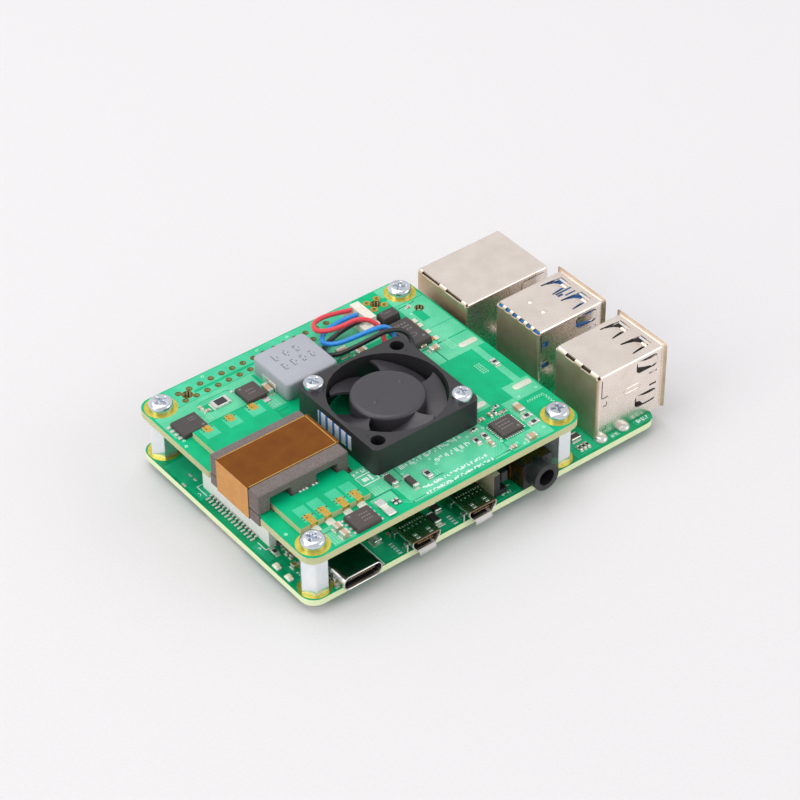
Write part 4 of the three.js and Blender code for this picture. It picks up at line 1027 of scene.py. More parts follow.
windingTop = 13.4
windingFlat = windingTop - 0.02
winding = dressNode("winding_board", maskPower, 0.04)
faceMaterials(winding, (edgePower, onSide))
endPads = {"front": [5.5, 8.7, 12.8, 16.0], "back": [5.3, 10.5, 15.8]}
foldedPads, squares, beads = [], [], []
for x in endPads["front"]:
    # the pad lies on top, turns down the end face, and meets the solder below
    foldedPads += [slab(x, x + 1.5, 6.72, 9.4, windingFlat, windingTop + 0.07),
                   slab(x, x + 1.5, 6.66, 6.85, 12.3, windingTop + 0.05)]
    squares.append(slab(x - 0.6, x + 2.0, 7.6, 11.9, windingFlat, windingTop + 0.035))
    # a bead of solder: its height falls off as the square of the way out from the board's end
    out, side = np.meshgrid(np.linspace(0, 1, 7), np.linspace(0, 1, 7), indexing="ij")
    rise = 0.62 * (1 - out) ** 2 * np.sin(math.pi * (0.15 + 0.7 * side)) + 0.03
    top = np.stack([x - 0.1 + 1.7 * side, 6.75 - 1.25 * out, hatDeck + rise], 2).reshape(-1, 3)
    low = top.copy()
    low[:, 2] = hatDeck - 0.02
    rim = np.concatenate([np.arange(7), np.arange(13, 49, 7), np.arange(47, 41, -1), np.arange(35, 0, -7)])
    skirt = [(int(a), int(b), int(b) + 49, int(a) + 49) for a, b in zip(rim, np.roll(rim, -1))]
    beads.append((np.concatenate([top, low]), [tuple(f) for f in gridFaces(7, 7)]
                  + [tuple(f + 49)[::-1] for f in gridFaces(7, 7)] + skirt))
for x in endPads["back"]:
    foldedPads.append(slab(x, x + 1.5, 39.4, 41.32, windingFlat, windingTop + 0.07))
    foldedPads.append(slab(x, x + 1.5, 41.22, 41.4, 12.3, windingTop + 0.05))
    squares.append(slab(x - 0.9, x + 2.2, 37.8, 41.0, windingFlat, windingTop + 0.035))
flatPiece("winding_board_gold_pads", foldedPads, gold)
flatPiece("winding_board_copper_squares", squares, maskStrip)
makePiece("winding_board_solder_beads", gather(beads), solderPaste, recalc=True)
dots = [ringPlate(x + dx, y + dy, windingTop, windingTop + 0.1, 0.05, 0.16, 10)
        for x, y in [(x, 8.6) for x in endPads["front"]] + [(x, 40.4) for x in endPads["back"]]
        for dx, dy in ((-0.35, -0.3), (-0.35, 0.4), (0.45, 0.0), (0.45, 0.7), (1.85, 0.2))]
makePiece("winding_board_vias", gather(dots), plated)
whiteMarks = [slab(9.0 + 0.75 * k, 9.5 + 0.75 * k, 14.9, 15.4, windingTop, windingTop + 0.03)
              for k in (0, 1, 2, 4, 5)]
flatPiece("winding_board_print_bars", whiteMarks, silk)
print("transformer built")


block = {"x": (23.5, 35.8), "y": (38.5, 50.3), "top": 16.08, "corner": 1.1, "edge": 0.45}
outline = roundedRectangle(*block["x"], *block["y"], block["corner"], 8)
body = softPrism(outline, hatDeck, block["top"], block["edge"], 0.12)
makePiece("inductor_pressed_block", body, inductorPaint, replaced=["inductor"],
          smoothAngle=50)
plates = [softPrism(roundedRectangle(*span, 42.2, 46.8, 0.15, 3), hatDeck, hatDeck + 1.9, 0.08)
          for span in ((23.25, 23.62), (35.68, 36.05))]
makePiece("inductor_terminals", gather(plates), tin)
# two rows of dot columns stand in for the printed value
rng = np.random.default_rng(21)
grains = []
for row, (y, count) in enumerate(((46.1, 3), (42.9, 4))):
    for k in range(count):
        px = 26.3 + row * 0.1 + k * (2.55 if row == 0 else 2.15)
        for gx, gy in [(0, 0), (0, 1), (0, 2), (0, 3), (0, 4), (1, 4), (1, 0), (2, 2)]:
            if rng.random() < 0.9:
                grains.append(chamferedBox(px + gx * 0.42 - 0.13, px + gx * 0.42 + 0.13, y + gy * 0.42 - 0.13,
                                           y + gy * 0.42 + 0.13, block["top"] - 0.01, block["top"] + 0.014,
                                           0.005))
flatPiece("inductor_dot_marks", grains, inductorMark)
print("inductor built")


dressNode("fan_frame", fanPlastic, 0.22, bevelSteps=3)
fanX, fanY = 35.9, 23.2
cornerMarks = []
for sx, sy, turn in ((-1, 1, 225), (-1, -1, 315), (1, -1, 45), (1, 1, 135)):
    for arm in (-32, 32):
        mark = slab(0.0, 0.75, -0.07, 0.07, 0.0, 0.07)
        v, f = moved(mark, turn=arm)
        cornerMarks.append(moved((v, f), (fanX + sx * 10.9, fanY + sy * 7.6, fanTop - 0.02), turn=turn))
flatPiece("fan_frame_corner_marks", cornerMarks, fanPlastic)

rotor = {"radius": 7.35, "low": 13.3, "high": 17.93, "tip": 11.3, "sweep": 57, "first": 135.0, "blades": 5}
hubProfile = [(0.0, rotor["high"] - 0.005), (1.5, rotor["high"]), (6.3, rotor["high"]),
              (6.8, rotor["high"] - 0.05),
              (7.1, rotor["high"] - 0.18), (7.3, rotor["high"] - 0.42),
              (rotor["radius"], rotor["high"] - 0.8),
              (rotor["radius"], rotor["low"]), (6.6, rotor["low"]), (6.55, rotor["high"] - 0.9),
              (0.75, rotor["high"] - 0.9), (0.75, rotor["low"] - 0.2), (0.0, rotor["low"] - 0.2)]
hub = lathe(hubProfile, 96, (fanX, fanY, 0))
hub = (hub[0], [tuple(f)[::-1] for f in hub[1]])
rotorParts = [hub]
# Each blade: s runs outwards, t runs round from the high edge to the low one. The angle leads a little
# more towards the tip, and the height falls along a soft curve: low + rise * (1 - t)^1.25.
s, t = np.meshgrid(np.linspace(0, 1, 9), np.linspace(0, 1, 15), indexing="ij")
for k in range(rotor["blades"]):
    start = rotor["first"] - 72 * k
    angle = np.radians(start + 8 * s ** 1.5 - rotor["sweep"] * (0.92 + 0.18 * s) * t)
    radius = 7.2 + (rotor["tip"] - 7.2) * s - 0.5 * s ** 3 * (np.abs(2 * t - 1) ** 6)
    rise = 13.75 + 3.5 * (1 - t) ** 1.25 + 0.15 * s
    thick = 0.28 + 0.2 * np.sin(math.pi * np.clip(t, 0.02, 0.98)) * (1 - 0.5 * s)
    upper = np.stack([fanX + radius * np.cos(angle), fanY + radius * np.sin(angle), rise + thick],
                     2).reshape(-1, 3)
    lower = np.stack([fanX + radius * np.cos(angle), fanY + radius * np.sin(angle), rise - thick],
                     2).reshape(-1, 3)
    n = upper.shape[0]
    rim = np.concatenate([np.arange(15), np.arange(29, n, 15), np.arange(n - 2, n - 16, -1),
                          np.arange(n - 30, 0, -15)])
    rotorParts.append((np.concatenate([upper, lower]), [tuple(f) for f in gridFaces(9, 15)]
                       + [tuple(f + n)[::-1] for f in gridFaces(9, 15)]
                       + [(int(a), int(b), int(b) + n, int(a) + n) for a, b in zip(rim, np.roll(rim, -1))]))
makePiece("fan_rotor_bladed", gather(rotorParts), fanBlade, body="fan_rotor",
          replaced=["fan_rotor"], smoothAngle=40, recalc=True)
dimple = [(0.0, 0.16), (0.3, 0.14), (0.5, 0.05), (0.62, -0.02), (0.0, -0.02)]
dimples = [lathe(dimple, 20, (x, y, rotor["high"])) for x, y in ((32.5, 22.6), (40.0, 24.6))]
makePiece("fan_hub_dimples", gather(dimples), fanBlade, body="fan_rotor", recalc=True)
print("fan built")


def plateIn(plane, outline, holes, near, far):
    # a flat holed plate stood up: plane "x" puts the outline in y and z, "y" in x and z, "z" in x and y
    verts, faces = holedPlate(outline, holes, near, far)
    order = {"x": (2, 0, 1), "y": (0, 2, 1), "z": (0, 1, 2)}[plane]
    return verts[:, order], faces


def box2(a0, a1, b0, b1):
    return np.array([(a0, b0), (a1, b0), (a1, b1), (a0, b1)], float)


def foldAlong(axis, a0, a1, centre, radius, thickness, start):
    # a bend: a quarter of a ring of one sheet thickness, carried along the fold
    turn = np.radians(start + np.linspace(0, 90, 7))
    outer = np.stack([centre[0] + radius * np.cos(turn), centre[1] + radius * np.sin(turn)], 1)
    inner = np.stack([centre[0] + (radius - thickness) * np.cos(turn),
                      centre[1] + (radius - thickness) * np.sin(turn)], 1)
    ring = np.concatenate([outer, inner[::-1]])
    verts, faces = prism(ring, a0, a1)
    order = {"x": (2, 0, 1), "y": (0, 2, 1), "z": (0, 1, 2)}[axis]
    faces = [f for f in faces if len(f) == 4]
    n = len(ring)
    for i in range(6):
        cap = (i, i + 1, n - 2 - i, n - 1 - i)
        faces += [cap, tuple(c + n for c in cap)]
    return verts[:, order], faces


def bentTongue(line, widths, thickness):
    # a spring finger: a thin oblong section carried along a bent line; the first two of each point are
    # along and across the sheet, the third is its depth
    p, w = np.asarray(line, float), np.asarray(widths, float)
    corners = np.stack([np.stack([p[:, 0], p[:, 1] + a * w / 2, p[:, 2] + b * thickness / 2], 1)
                        for a, b in ((-1, -1), (1, -1), (1, 1), (-1, 1))], 1).reshape(-1, 3)
    faces = [tuple(f) for f in gridFaces(len(p), 4, closeColumns=True)]
    faces += [(3, 2, 1, 0), tuple(range(len(p) * 4 - 4, len(p) * 4))]
    return corners, faces


sheet = 0.35


def foldedBox(box, y0, y1, topHoles, sideHoles, rearHoles, rearGaps):
    # top, two sides and rear cut from one sheet, with a bend where each pair meets; gaps break the rear bend
    x0, x1, low, high, r = (box[key] for key in ("x0", "x1", "low", "high", "bend"))
    parts = [plateIn("z", box2(x0 + r, x1, y0 + r, y1 - r), topHoles, high - sheet, high)]
    for side, face in ((-1, y0), (1, y1)):
        inside = face - side * sheet
        parts += [plateIn("y", box2(x0 + r, x1, low, high - r), sideHoles, min(face, inside),
                          max(face, inside)),
                  foldAlong("x", x0 + r, x1, (face - side * r, high - r), r, sheet, 0 if side > 0 else 90),
                  foldAlong("z", low, high - r, (x0 + r, face - side * r), r, sheet, 90 if side > 0 else 180)]
    parts.append(plateIn("x", box2(y0 + r, y1 - r, low, high - r), rearHoles, x0, x0 + sheet))
    edges = [y0 + r, *rearGaps, y1 - r]
    return parts + [foldAlong("y", a, b, (x0 + r, high - r), r, sheet, 90)
                    for a, b in zip(edges[::2], edges[1::2]) if b > a]


towers = {
    "usb_fast": {"centre": 27.0, "rearGaps": [gap + 2.14 * k for k in range(6) for gap in (20.9, 22.2)],
                 "fingers": (28.85 + 1.2, 22.75 + 1.2), "centreSlots": True,
                 "sideSlots": [box2(72.1, 74.0, 7.2, 8.4), box2(72.2, 73.6, 12.3, 13.7)]},
    "usb_plain": {"centre": 9.0, "rearGaps": [5.2, 7.8, 9.8, 12.4], "fingers": (12.1, 6.1),
                  "centreSlots": False,
                  "sideSlots": [box2(72.0, 73.5, 11.1, 11.35)]}}
tower = {"x0": 70.9, "x1": 87.35, "half": 6.55, "low": 1.45, "high": 16.7, "bend": 0.7,
         "windowHeights": (14.3, 5.65)}
for name, spec in towers.items():
    yc, r = spec["centre"], tower["bend"]
    x0, x1, high, low = tower["x0"], tower["x1"], tower["high"], tower["low"]
    near, far = yc - tower["half"], yc + tower["half"]
    windows, fingers = [], []
    for fy in spec["fingers"]:
        windows.append(np.array([(81.2, fy - 1.95), (84.2, fy - 1.75), (86.3, fy - 1.5), (86.3, fy + 1.5),
                                 (84.2, fy + 1.75), (81.2, fy + 1.95), (81.2, fy + 1.6), (81.1, fy),
                                 (81.2, fy - 1.6)]))
        fingers.append(bentTongue([(81.05, fy, high - 0.175), (82.5, fy, high - 0.2), (84.0, fy, high - 0.38),
                                   (85.0, fy, high - 0.85), (85.5, fy, high - 1.25), (85.85, fy, high - 1.15),
                                   (86.05, fy, high - 0.8)], [3.3, 2.7, 2.0, 1.6, 1.45, 1.35, 1.3], 0.3))
    if spec["centreSlots"]:
        windows += [box2(81.6, 85.6, yc + 0.55, yc + 1.0), box2(83.0, 85.6, yc - 0.75, yc - 0.35),
                    box2(81.6, 82.9, yc - 0.2, yc + 0.4)]
    # side windows: fingers rooted at the front reach back and dip inwards
    for side, face in ((-1, near), (1, far)):
        for zc in tower["windowHeights"]:
            line = [(86.2, zc - 0.05, 0), (84.6, zc - 0.05, 0), (83.2, zc, -0.2), (82.3, zc, -0.6),
                    (81.8, zc, -0.75), (81.5, zc, -0.5)]
            v, f = bentTongue(line, [1.9, 1.7, 1.5, 1.4, 1.3, 1.2], 0.3)
            fingers.append((np.stack([v[:, 0], face - side * (0.175 - v[:, 2]), v[:, 1]], 1), f))
    sideWindows = [roundedRectangle(80.7, 86.1, zc - 1.45, zc + 1.55, 0.9, 5)
                   for zc in tower["windowHeights"]]
    sideWindows += [box2(84.1, 86.1, 11.35, 11.7), box2(84.3, 86.1, 8.2, 8.65),
                    box2(72.3, 73.3, 9.05, 9.25), box2(73.1, 73.3, 9.3, 10.0), box2(72.3, 73.3, 2.95, 3.15),
                    box2(73.1, 73.3, 3.2, 3.9), box2(71.75, 71.98, 11.3, 15.6)]
    sideWindows += spec["sideSlots"]
    parts = foldedBox(tower, near, far, windows, sideWindows, [], spec["rearGaps"])
    parts.append(plateIn("z", box2(x0 + r, x1, near + sheet, far - sheet), [], low, low + 0.3))
    # the mouth flares out: rounded rectangles grow as the square of the way to the front
    grow = np.linspace(0, 1, 6)
    outers = [roundedRectangle(near - 0.75 * g ** 2, far + 0.75 * g ** 2, low, high + 0.62 * g ** 2,
                               r, 5) for g in grow]
    n = len(outers[0])
    loops = [np.c_[np.full(n, x1 + 0.5 * g), ring] for g, ring in zip(grow, outers)]
    inners = [np.c_[np.full(n, x1 + 0.5 * g + 0.03), inset(ring, 0.3)] for g, ring in zip(grow, outers)][::-1]
    flareFaces = gridFaces(len(loops + inners), n, closeRows=True, closeColumns=True)
    flare = (np.concatenate(loops + inners), [tuple(f) for f in flareFaces])
    parts += [flare] + fingers
    # pressed marks: a raised long oval on the near side, and round dimples on top of the fast stack
    a = np.arange(40) * 2 * math.pi / 40
    path = np.stack([79.75 + np.sign(np.cos(a)) * np.abs(np.cos(a)) ** 0.5 * 2.2, np.full(40, near),
                     9.95 + np.sin(a) * 0.6], 1)
    parts.append(tube(np.concatenate([path, path[:1]]), 0.07, 6))
    if spec["centreSlots"]:
        parts += [lathe([(0.0, 0.2), (0.35, 0.19), (0.62, 0.1), (0.75, -0.02), (0.0, -0.02)], 24,
                        (76.3, y, high))
                  for y in (29.1, 25.1)]
    shell = makePiece(name + "_shell_folded", gather(parts), nickel,
                      replaced=[name + "_shell"], smoothAngle=35, recalc=True)
    # the faces turned to the back take the nickel's duller, browner copy: painted shade
    faceMaterials(shell, (nickelBackShaded, facesBack))
    feet = []
    for fx in (71.9, 77.6):
        for fy in (near + 0.1, far - 0.1):
            # a foot's bead: radius and height follow a quarter turn, flattened
            turn = np.linspace(0, math.pi / 2, 9)
            bead = np.stack([1.45 * np.sin(turn), deck + 1.0 * np.cos(turn)], 1).tolist()
            feet.append(lathe(bead + [(0.0, deck - 0.02)], 26, (fx, fy - 0.35 if fy < yc else fy + 0.35, 0)))
    makePiece(name + "_foot_solder", gather(feet), tin, recalc=True)

# Ethernet shell: plain folded box with two gaps in the rear top bend and a seam down each side
jack = {"x0": 66.9, "x1": 88.0, "y0": 37.75, "y1": 53.75, "low": 1.45, "high": 14.9, "bend": 0.6,
        "rearGaps": (39.7, 44.6, 46.7, 52.2)}
seam = [np.array([(80.5, 9.6), (81.3, 13.6), (81.5, 13.6), (80.7, 9.6)]), box2(81.6, 87.0, 13.85, 14.02),
        np.array([(83.6, 4.0), (86.0, 4.4), (86.0, 7.2), (83.6, 7.6)])]
parts = foldedBox(jack, jack["y0"], jack["y1"], [], seam, [box2(44.0, 47.5, 3.0, 3.4)], jack["rearGaps"])
v, f = bentTongue([(86.1, 5.8, 0), (85.0, 5.8, 0), (84.3, 5.8, 0.25), (83.9, 5.8, 0.5)], [2.4, 2.2, 2.0, 1.9],
                  0.3)
for side, face in ((-1, jack["y0"]), (1, jack["y1"])):
    parts.append((np.stack([v[:, 0], face - side * (0.175 + v[:, 2]), v[:, 1]], 1), f))
parts.append(plateIn("x", box2(jack["y0"] + 0.1, jack["y1"] - 0.1, jack["low"], jack["high"] - 0.1),
                     [box2(39.85, 51.65, 4.0, 12.0)], jack["x1"] - 0.3, jack["x1"] - 0.02))
shell = makePiece("ethernet_shell_folded", gather(parts), nickel,
                  replaced=["ethernet_shell"], smoothAngle=35, recalc=True)
# the faces turned to the back take the nickel's duller, browner copy: painted shade
faceMaterials(shell, (nickelBackShaded, facesBack))

# contacts: eight sprung wires in the network port, four strips under each serial tongue
wires = [bentTongue([(86.6, 45.75 + 1.02 * (k - 3.5), 11.85), (84.6, 45.75 + 1.02 * (k - 3.5), 11.5),
                     (80.2, 45.75 + 1.02 * (k - 3.5), 9.7)], [0.4] * 3, 0.2) for k in range(8)]
wires += [slab(78.0, 86.2, spec["centre"] + y - 0.5, spec["centre"] + y + 0.5, under - 0.07, under + 0.02)
          for spec in towers.values() for under in (deck + 3.8, deck + 12) for y in (-3.5, -1.0, 1.0, 3.5)]
makePiece("tall_socket_contacts", gather(wires), gold, smoothAngle=0, recalc=True)
print("tall sockets built")


def loopShell(outline, thickness, near, far, lip=0.12):
    # a folded tube open at both ends: outline in x and z carried back along y, its front rim rolled over
    inner = inset(outline, thickness)
    n = len(outline)
    stations = [(inset(outline, thickness * 0.5), near), (inset(outline, lip * 0.3), near + lip * 0.3),
                (outline, near + lip), (outline, far), (inner, far), (inner, near + lip),
                (inset(outline, thickness - lip * 0.3), near + lip * 0.3)]
    verts = np.concatenate([np.c_[o[:, 0], np.full(n, y), o[:, 1]] for o, y in stations])
    return verts, [tuple(f) for f in gridFaces(len(stations), n, closeRows=True, closeColumns=True)]


powerPort = {"x": 11.2, "z": 3.0, "width": 8.94, "height": 3.16, "front": -1.3, "depth": 7.35}
spec = powerPort
outline = roundedRectangle(spec["x"] - spec["width"] / 2, spec["x"] + spec["width"] / 2,
                           spec["z"] - spec["height"] / 2, spec["z"] + spec["height"] / 2, 1.5, 10)
back = spec["front"] + spec["depth"]
parts = [loopShell(outline, 0.3, spec["front"], back, 0.2)]
parts.append(plateIn("y", inset(outline, 0.1), [], back - 0.3, back - 0.02))
for x in (spec["x"] - 4.6, spec["x"] + 4.6):
    # mounting legs come off each flank and turn down into the board
    parts += [chamferedBox(x - 0.25, x + 0.25, y, y + 1.1, deck - 0.2, 3.2, 0.1) for y in (1.2, 4.4)]
shell = makePiece("power_port_shell_rolled", gather(parts), portSteel,
                  replaced=["power_port_shell"], smoothAngle=40, recalc=True)
# the shell's upward faces take a dark copy of the steel: painted shade from the power board above
faceMaterials(shell, (portTopShaded, lambda centre, normal: (normal[:, 2] > 0.7) & (centre[:, 2] > 4)
                      & (centre[:, 1] > -1)))
contacts = [slab(spec["x"] - 3.0 + 0.5 * k, spec["x"] - 2.75 + 0.5 * k, -0.75, 1.6, 3.32, 3.42)
            for k in range(12)]
flatPiece("power_port_contacts", contacts, gold)

videoPort = {"centres": (26.0, 39.5), "top": 4.45, "low": 1.75, "front": -1.3, "depth": 7.4}
mouth = np.array([(-2.05, 0.0), (2.05, 0.0), (2.35, 0.12), (3.1, 1.25), (3.3, 1.6), (3.3, 2.45), (3.05, 2.7),
                  (-3.05, 2.7), (-3.3, 2.45), (-3.3, 1.6), (-3.1, 1.25), (-2.35, 0.12)])
for i, x in enumerate(videoPort["centres"]):
    v = videoPort
    back = v["front"] + v["depth"]
    parts = [loopShell(mouth + np.array([x, v["low"]]), 0.26, v["front"], back, 0.16)]
    parts.append(plateIn("y", mouth * 0.96 + np.array([x, v["low"] + 0.05]), [], back - 0.3, back - 0.02))
    # the lower lip flares down over the board's edge
    line = [(v["front"] + 0.5, x, v["low"] + 0.1), (v["front"] + 0.05, x, v["low"] + 0.06),
            (v["front"] - 0.2, x, v["low"] - 0.12), (v["front"] - 0.36, x, v["low"] - 0.5),
            (v["front"] - 0.38, x, v["low"] - 0.8)]
    tv, tf = bentTongue(line, [3.9, 3.9, 3.9, 3.9, 3.8], 0.2)
    parts.append((tv[:, [1, 0, 2]], tf))
    for side in (-1, 1):
        parts += [chamferedBox(x + side * 3.5 - 0.18, x + side * 3.5 + 0.18, y, y + 1.2, deck - 0.15, 3.3,
                               0.08)
                  for y in (0.0, 3.8)]
    shell = makePiece(f"video_port_{i + 1}_shell_folded", gather(parts), portSteel,
                      replaced=[f"video_port_{i + 1}_shell"], smoothAngle=30, recalc=True)
    # the shell's upward faces take a warm brown copy of the steel: painted shade from the power board above
    faceMaterials(shell, (videoTopShaded, lambda centre, normal: (normal[:, 2] > 0.5) & (centre[:, 2] > 4)))
    # spring windows near the mouth, and the row of pressed marks towards the back
    bright = [chamferedBox(x + s * 1.5 - 0.42, x + s * 1.5 + 0.42, y, y + 0.62, v["top"] - 0.05,
                           v["top"] + 0.06, 0.04)
              for s in (-1, 1) for y in (-0.75, 0.15)]
    bright += [chamferedBox(x - 2.7 + 0.58 * k, x - 2.45 + 0.58 * k, 3.5, 3.85, v["top"] - 0.02,
                            v["top"] + 0.03, 0.01)
               for k in range(10)]
    bright += [chamferedBox(x - 2.4 + 0.95 * k, x - 2.15 + 0.95 * k, 2.5, 2.8, v["top"] - 0.02,
                            v["top"] + 0.03, 0.01)
               for k in range(6)]
    flatPiece(f"video_port_{i + 1}_spring_marks", bright, tin)
    pins = [slab(x - 1.7 + 0.4 * k, x - 1.5 + 0.4 * k, -0.9, 1.6, 3.2, 3.29) for k in range(9)]
    flatPiece(f"video_port_{i + 1}_contacts", pins, gold)

# a stamped frame wraps the jack's side and top
jackFrame = [plateIn("x", box2(0.4, 7.6, 1.9, 6.9), [box2(1.3, 2.9, 2.7, 4.9), box2(3.7, 6.7, 2.5, 4.1)],
                     50.37, 50.5),
             plateIn("z", box2(51.0, 57.0, 0.5, 7.6), [box2(52.4, 55.6, 4.8, 5.4)], 7.19, 7.3)]
flatPiece("audio_jack_frame", jackFrame, brassDull)
jackParts = []
for line, wide in (([(4.0, 0, 1.5), (4.0, 0, 3.4), (4.5, 0, 4.9), (6.2, 0, 5.6), (7.4, 0, 5.6)], 0.7),
                   ([(9.0, 0, 1.5), (9.0, 0, 4.6), (9.3, 0, 5.2)], 1.2)):
    tv, tf = bentTongue([(z, y, 0.0) for y, _, z in line], [wide] * len(line), 0.16)
    jackParts.append((np.stack([50.32 + tv[:, 2], tv[:, 1], tv[:, 0]], 1), tf))
# the spring seen inside the socket's mouth curves down and back up
tv, tf = bentTongue([(-0.9, 53.4, 3.9), (0.6, 53.45, 4.15), (2.4, 53.4, 3.8), (4.0, 53.3, 3.6)], [0.9] * 4,
                    0.2)
jackParts.append((tv[:, [1, 0, 2]], tf))
makePiece("audio_jack_contacts", gather(jackParts), copperTab, recalc=True)
print("low ports built")


bins = {kind: [] for kind in partFinishes}
mainRings = [ringPlate(x, y, mainFlat, deck + 0.05, 1.45, 3.3, 64) for x, y in fixings]
mainRings += [ringPlate(x, y, -0.05, 0.01, 1.45, 3.1, 64) for x, y in fixings]
makePiece("main_board_fixing_rings", gather(mainRings), ringGold)

mainPours = [slab(*b, mainFlat, deck + layer) for b in
             [(0.6, 7.6, 35.8, 48.4), (7.2, 20.0, 35.8, 55.2), (17.6, 22.4, 0.5, 20.0),
              (30.0, 35.6, 0.6, 24.0), (43.0, 49.9, 0.5, 0.9), (58.4, 60.0, 5.6, 20.0),
              (64.6, 70.4, 0.6, 6.2), (79.9, 84.2, 0.6, 2.3), (0.6, 2.2, 14.0, 19.4),
              (52.0, 58.4, 24.0, 48.0), (64.8, 70.0, 20.6, 33.0), (73.6, 76.0, 0.8, 2.2)]]
flatPiece("main_board_copper_pours", mainPours, maskMainPour)
mainTracks = []
for points, step, count in ((((2.0, 13.0), (2.0, 6.0), (4.6, 2.0)), (0.3, 0.0), 4),
                            (((23.0, 8.0), (23.0, 14.0), (26.0, 18.0), (26.0, 24.0)), (0.35, 0.0), 6),
                            (((39.0, 44.0), (50.0, 44.0), (55.0, 50.0), (60.0, 50.0)), (0.0, 0.4), 8),
                            (((52.0, 27.0), (64.0, 27.0), (68.0, 30.0)), (0.0, -0.4), 8),
                            (((36.0, 2.0), (36.0, 0.6)), (-0.3, 0.0), 3),
                            (((66.0, 8.0), (66.0, 18.0)), (0.35, 0.0), 6)):
    mainTracks += [strip(np.array(points) + k * np.array(step), 0.15, mainFlat, mainInk)
                   for k in range(count)]
flatPiece("main_board_tracks", mainTracks, maskMainPour)
rng = np.random.default_rng(4)
viaPlaces = np.stack([rng.uniform(1, 70, 240), rng.uniform(1, 55, 240)], 1)
clear = np.min(np.linalg.norm(viaPlaces[:, None] - np.array(fixings)[None], axis=2), axis=1) > 3.6
makePiece("main_board_vias", gather([ringPlate(x, y, mainFlat, mainInk, 0.08, 0.22, 8)
                                     for x, y in viaPlaces[clear]]), maskMainPour)

# display connector: fifteen soldered feet in a row, each a low foot and a riser into the housing
for k in range(15):
    y = 20.75 + 1.04 * k
    bins["tin"] += [chamferedBox(1.35, 2.35, y - 0.26, y + 0.26, deck, deck + 0.3, 0.1),
                    chamferedBox(2.3, 3.12, y - 0.22, y + 0.22, deck + 0.1, deck + 0.75, 0.12)]
    y = 3.4 + 1.0 * k + 2.0
    bins["tin"] += [chamferedBox(43.35, 44.0, y - 0.24, y + 0.24, deck, deck + 0.35, 0.1),
                    chamferedBox(43.8, 44.42, y - 0.2, y + 0.2, deck + 0.1, deck + 1.2, 0.1)]
bins["silk"] += [strip(p, 0.2, mainFlat, mainInk) for p in
                 ([(4.6, 39.5), (2.2, 39.5), (2.2, 36.2)], [(2.2, 19.6), (2.2, 17.0), (4.6, 17.0)],
                  [(17.2, 7.6), (17.2, 0.4), (16.2, 0.4)], [(49.4, 3.0), (44.2, 3.0)])]
for x0, x1, y0, y1, count, seed in ((20.9, 21.7, 0.6, 4.4, 1, 1), (34.1, 35.0, 0.6, 4.0, 1, 2),
                                    (80.7, 83.8, 1.1, 2.1, 5, 3),
                                    (46.3, 48.8, 1.1, 1.8, 4, 5), (2.9, 3.4, 7.4, 8.6, 1, 6),
                                    (73.9, 75.9, 1.0, 1.8, 4, 8)):
    if x1 - x0 > y1 - y0:
        bins["silk"] += [slab(v[:, 0].min(), v[:, 0].max(), v[:, 1].min(), v[:, 1].max(), mainFlat, mainInk)
                         for v, _ in barRow(x0, x1, y0, y1, count, seed)]
    else:
        bins["silk"] += [slab(x0, x1, y, y + 0.42, mainFlat, mainInk) for y in np.arange(y0, y1 - 0.4, 0.75)]
bins["silk"] += [strip([(1.2, 36.9), (1.6, 37.4), (1.2, 37.9)], 0.16, mainFlat, mainInk),
                 strip([(1.3, 17.7), (1.8, 18.0), (1.3, 18.4)], 0.16, mainFlat, mainInk)]

mainParts = [
    (2.6, 3.6, 14.4, 16.4, 0.5, "y", "glaze", 0.3), (4.4, 5.5, 13.2, 14.0, 0.8, "x", "tan", 0.28),
    (4.4, 5.5, 11.9, 12.7, 0.8, "x", "tan", 0.28), (3.1, 4.3, 9.4, 10.6, 0.9, "x", "gold", 0.25),
    (4.7, 5.6, 9.9, 10.5, 0.4, "x", "tan", 0.3), (4.5, 5.6, 15.2, 17.2, 1.0, "y", "black", 0.16),
    (6.2, 7.2, 0.7, 2.1, 0.8, "y", "gold", 0.28), (6.7, 7.4, 2.9, 4.4, 0.6, "y", "glaze", 0.28),
    (18.6, 20.3, 5.0, 7.0, 1.2, "x", "paste", 0.3), (31.0, 32.5, 2.5, 5.6, 0.9, "y", "black", 0.14),
    (33.1, 34.6, 5.2, 7.4, 0.7, "y", "black", 0.2), (22.4, 23.0, 5.4, 6.6, 0.4, "y", "tan", 0.3),
    (66.3, 66.95, 1.7, 3.2, 0.45, "y", "glaze", 0.3), (67.25, 67.9, 1.7, 3.2, 0.45, "y", "glaze", 0.3),
    (68.2, 68.85, 1.7, 3.2, 0.45, "y", "glaze", 0.3), (66.5, 68.8, 4.5, 6.2, 0.9, "y", "black", 0.18),
    (47.0, 48.2, 3.6, 4.4, 0.5, "x", "glaze", 0.3), (48.5, 49.5, 4.6, 5.4, 0.5, "x", "tan", 0.3),
    (46.6, 49.0, 7.6, 9.4, 1.0, "x", "black", 0.16), (36.0, 37.2, 22.4, 23.2, 0.5, "x", "tan", 0.3),
    (24.0, 26.6, 18.4, 20.6, 1.2, "x", "black", 0.18), (27.6, 30.0, 20.6, 22.6, 1.2, "x", "tan", 0.25),
    (53.0, 54.2, 30.0, 30.8, 0.5, "x", "tan", 0.3), (53.0, 54.2, 32.0, 32.8, 0.5, "x", "tan", 0.3)]
for part in mainParts:
    chipPart(deck, *part)
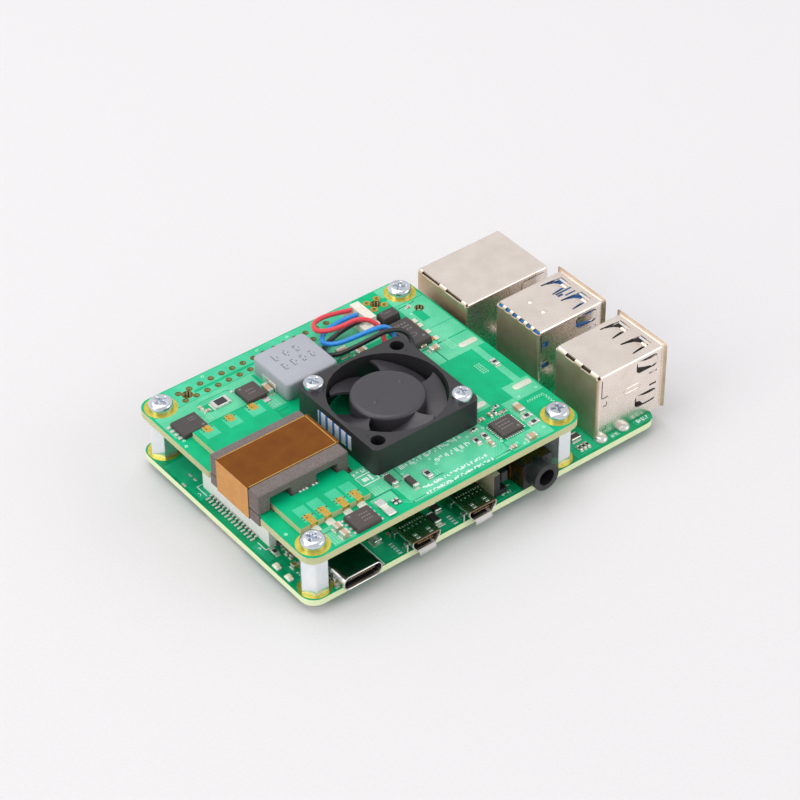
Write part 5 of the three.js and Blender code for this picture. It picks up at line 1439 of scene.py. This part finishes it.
bins["paste"] += [chamferedBox(0.35, 0.85, 40.9, 42.2, deck - 0.02, deck + 0.12, 0.05),
                  chamferedBox(2.9, 3.4, 41.0, 42.0, deck - 0.02, deck + 0.12, 0.05),
                  chamferedBox(2.9, 3.4, 42.6, 43.6, deck - 0.02, deck + 0.12, 0.05),
                  chamferedBox(31.1, 32.9, 1.7, 2.15, deck - 0.02, deck + 0.2, 0.06),
                  chamferedBox(22.3, 23.3, 0.6, 1.7, deck - 0.02, deck + 0.3, 0.12),
                  chamferedBox(35.8, 36.7, 0.6, 1.7, deck - 0.02, deck + 0.3, 0.12)]
ledBodies = [chamferedBox(0.5, 1.6, y - 0.9, y + 0.9, deck, deck + 0.45, 0.08) for y in (11.9, 8.1)]
lenses = [softPrism(roundedRectangle(0.6, 1.5, y - 0.5, y + 0.5, 0.15, 3), deck + 0.4, deck + 0.85, 0.12)
          for y in (11.9, 8.1)]
makePiece("status_light_bases", gather(ledBodies), whitePlastic)
makePiece("status_light_lenses", gather(lenses), ledLens)
emptyBins("main_board")

# USB controller: a plain package between the processor and the tall sockets
package("hub_chip", deck, 55.0, 61.0, 25.0, 31.0, 0.9, 0.08, epoxy, 56.0, 30.0, 0.35)
makePiece("hub_chip_mark", gather(bins["mark"]), chipMark)

# the header's solder points on the underside of the main board
pinTail = [(0.0, -0.62), (0.16, -0.6), (0.24, -0.4), (0.34, -0.22), (0.62, -0.1), (0.72, 0.01), (0.0, 0.01)]
socketTail = [(0.0, -0.55), (0.2, -0.52), (0.4, -0.3), (0.8, -0.08), (0.9, 0.01), (0.0, 0.01)]
pinPlaces = [(8.37 + pinPitch * i, y) for i in range(20) for y in (51.23, 53.77)]
pinPlaces += [(60.23 + pinPitch * i, 44.83 + pinPitch * j) for i in range(2) for j in range(2)]
socketRows = (5.5, 7.8, 10.2, 12.5, 23.5, 25.8, 28.2, 30.5, 41.0, 43.0, 45.0, 47.0, 49.0)
tails = [lathe(pinTail, 14, (x, y, 0)) for x, y in pinPlaces]
tails += [lathe(socketTail, 14, (x, y, 0)) for y in socketRows for x in (72.4, 75.0)]
makePiece("underside_solder_points", gather(tails), tin, recalc=True)
print("main board finished")
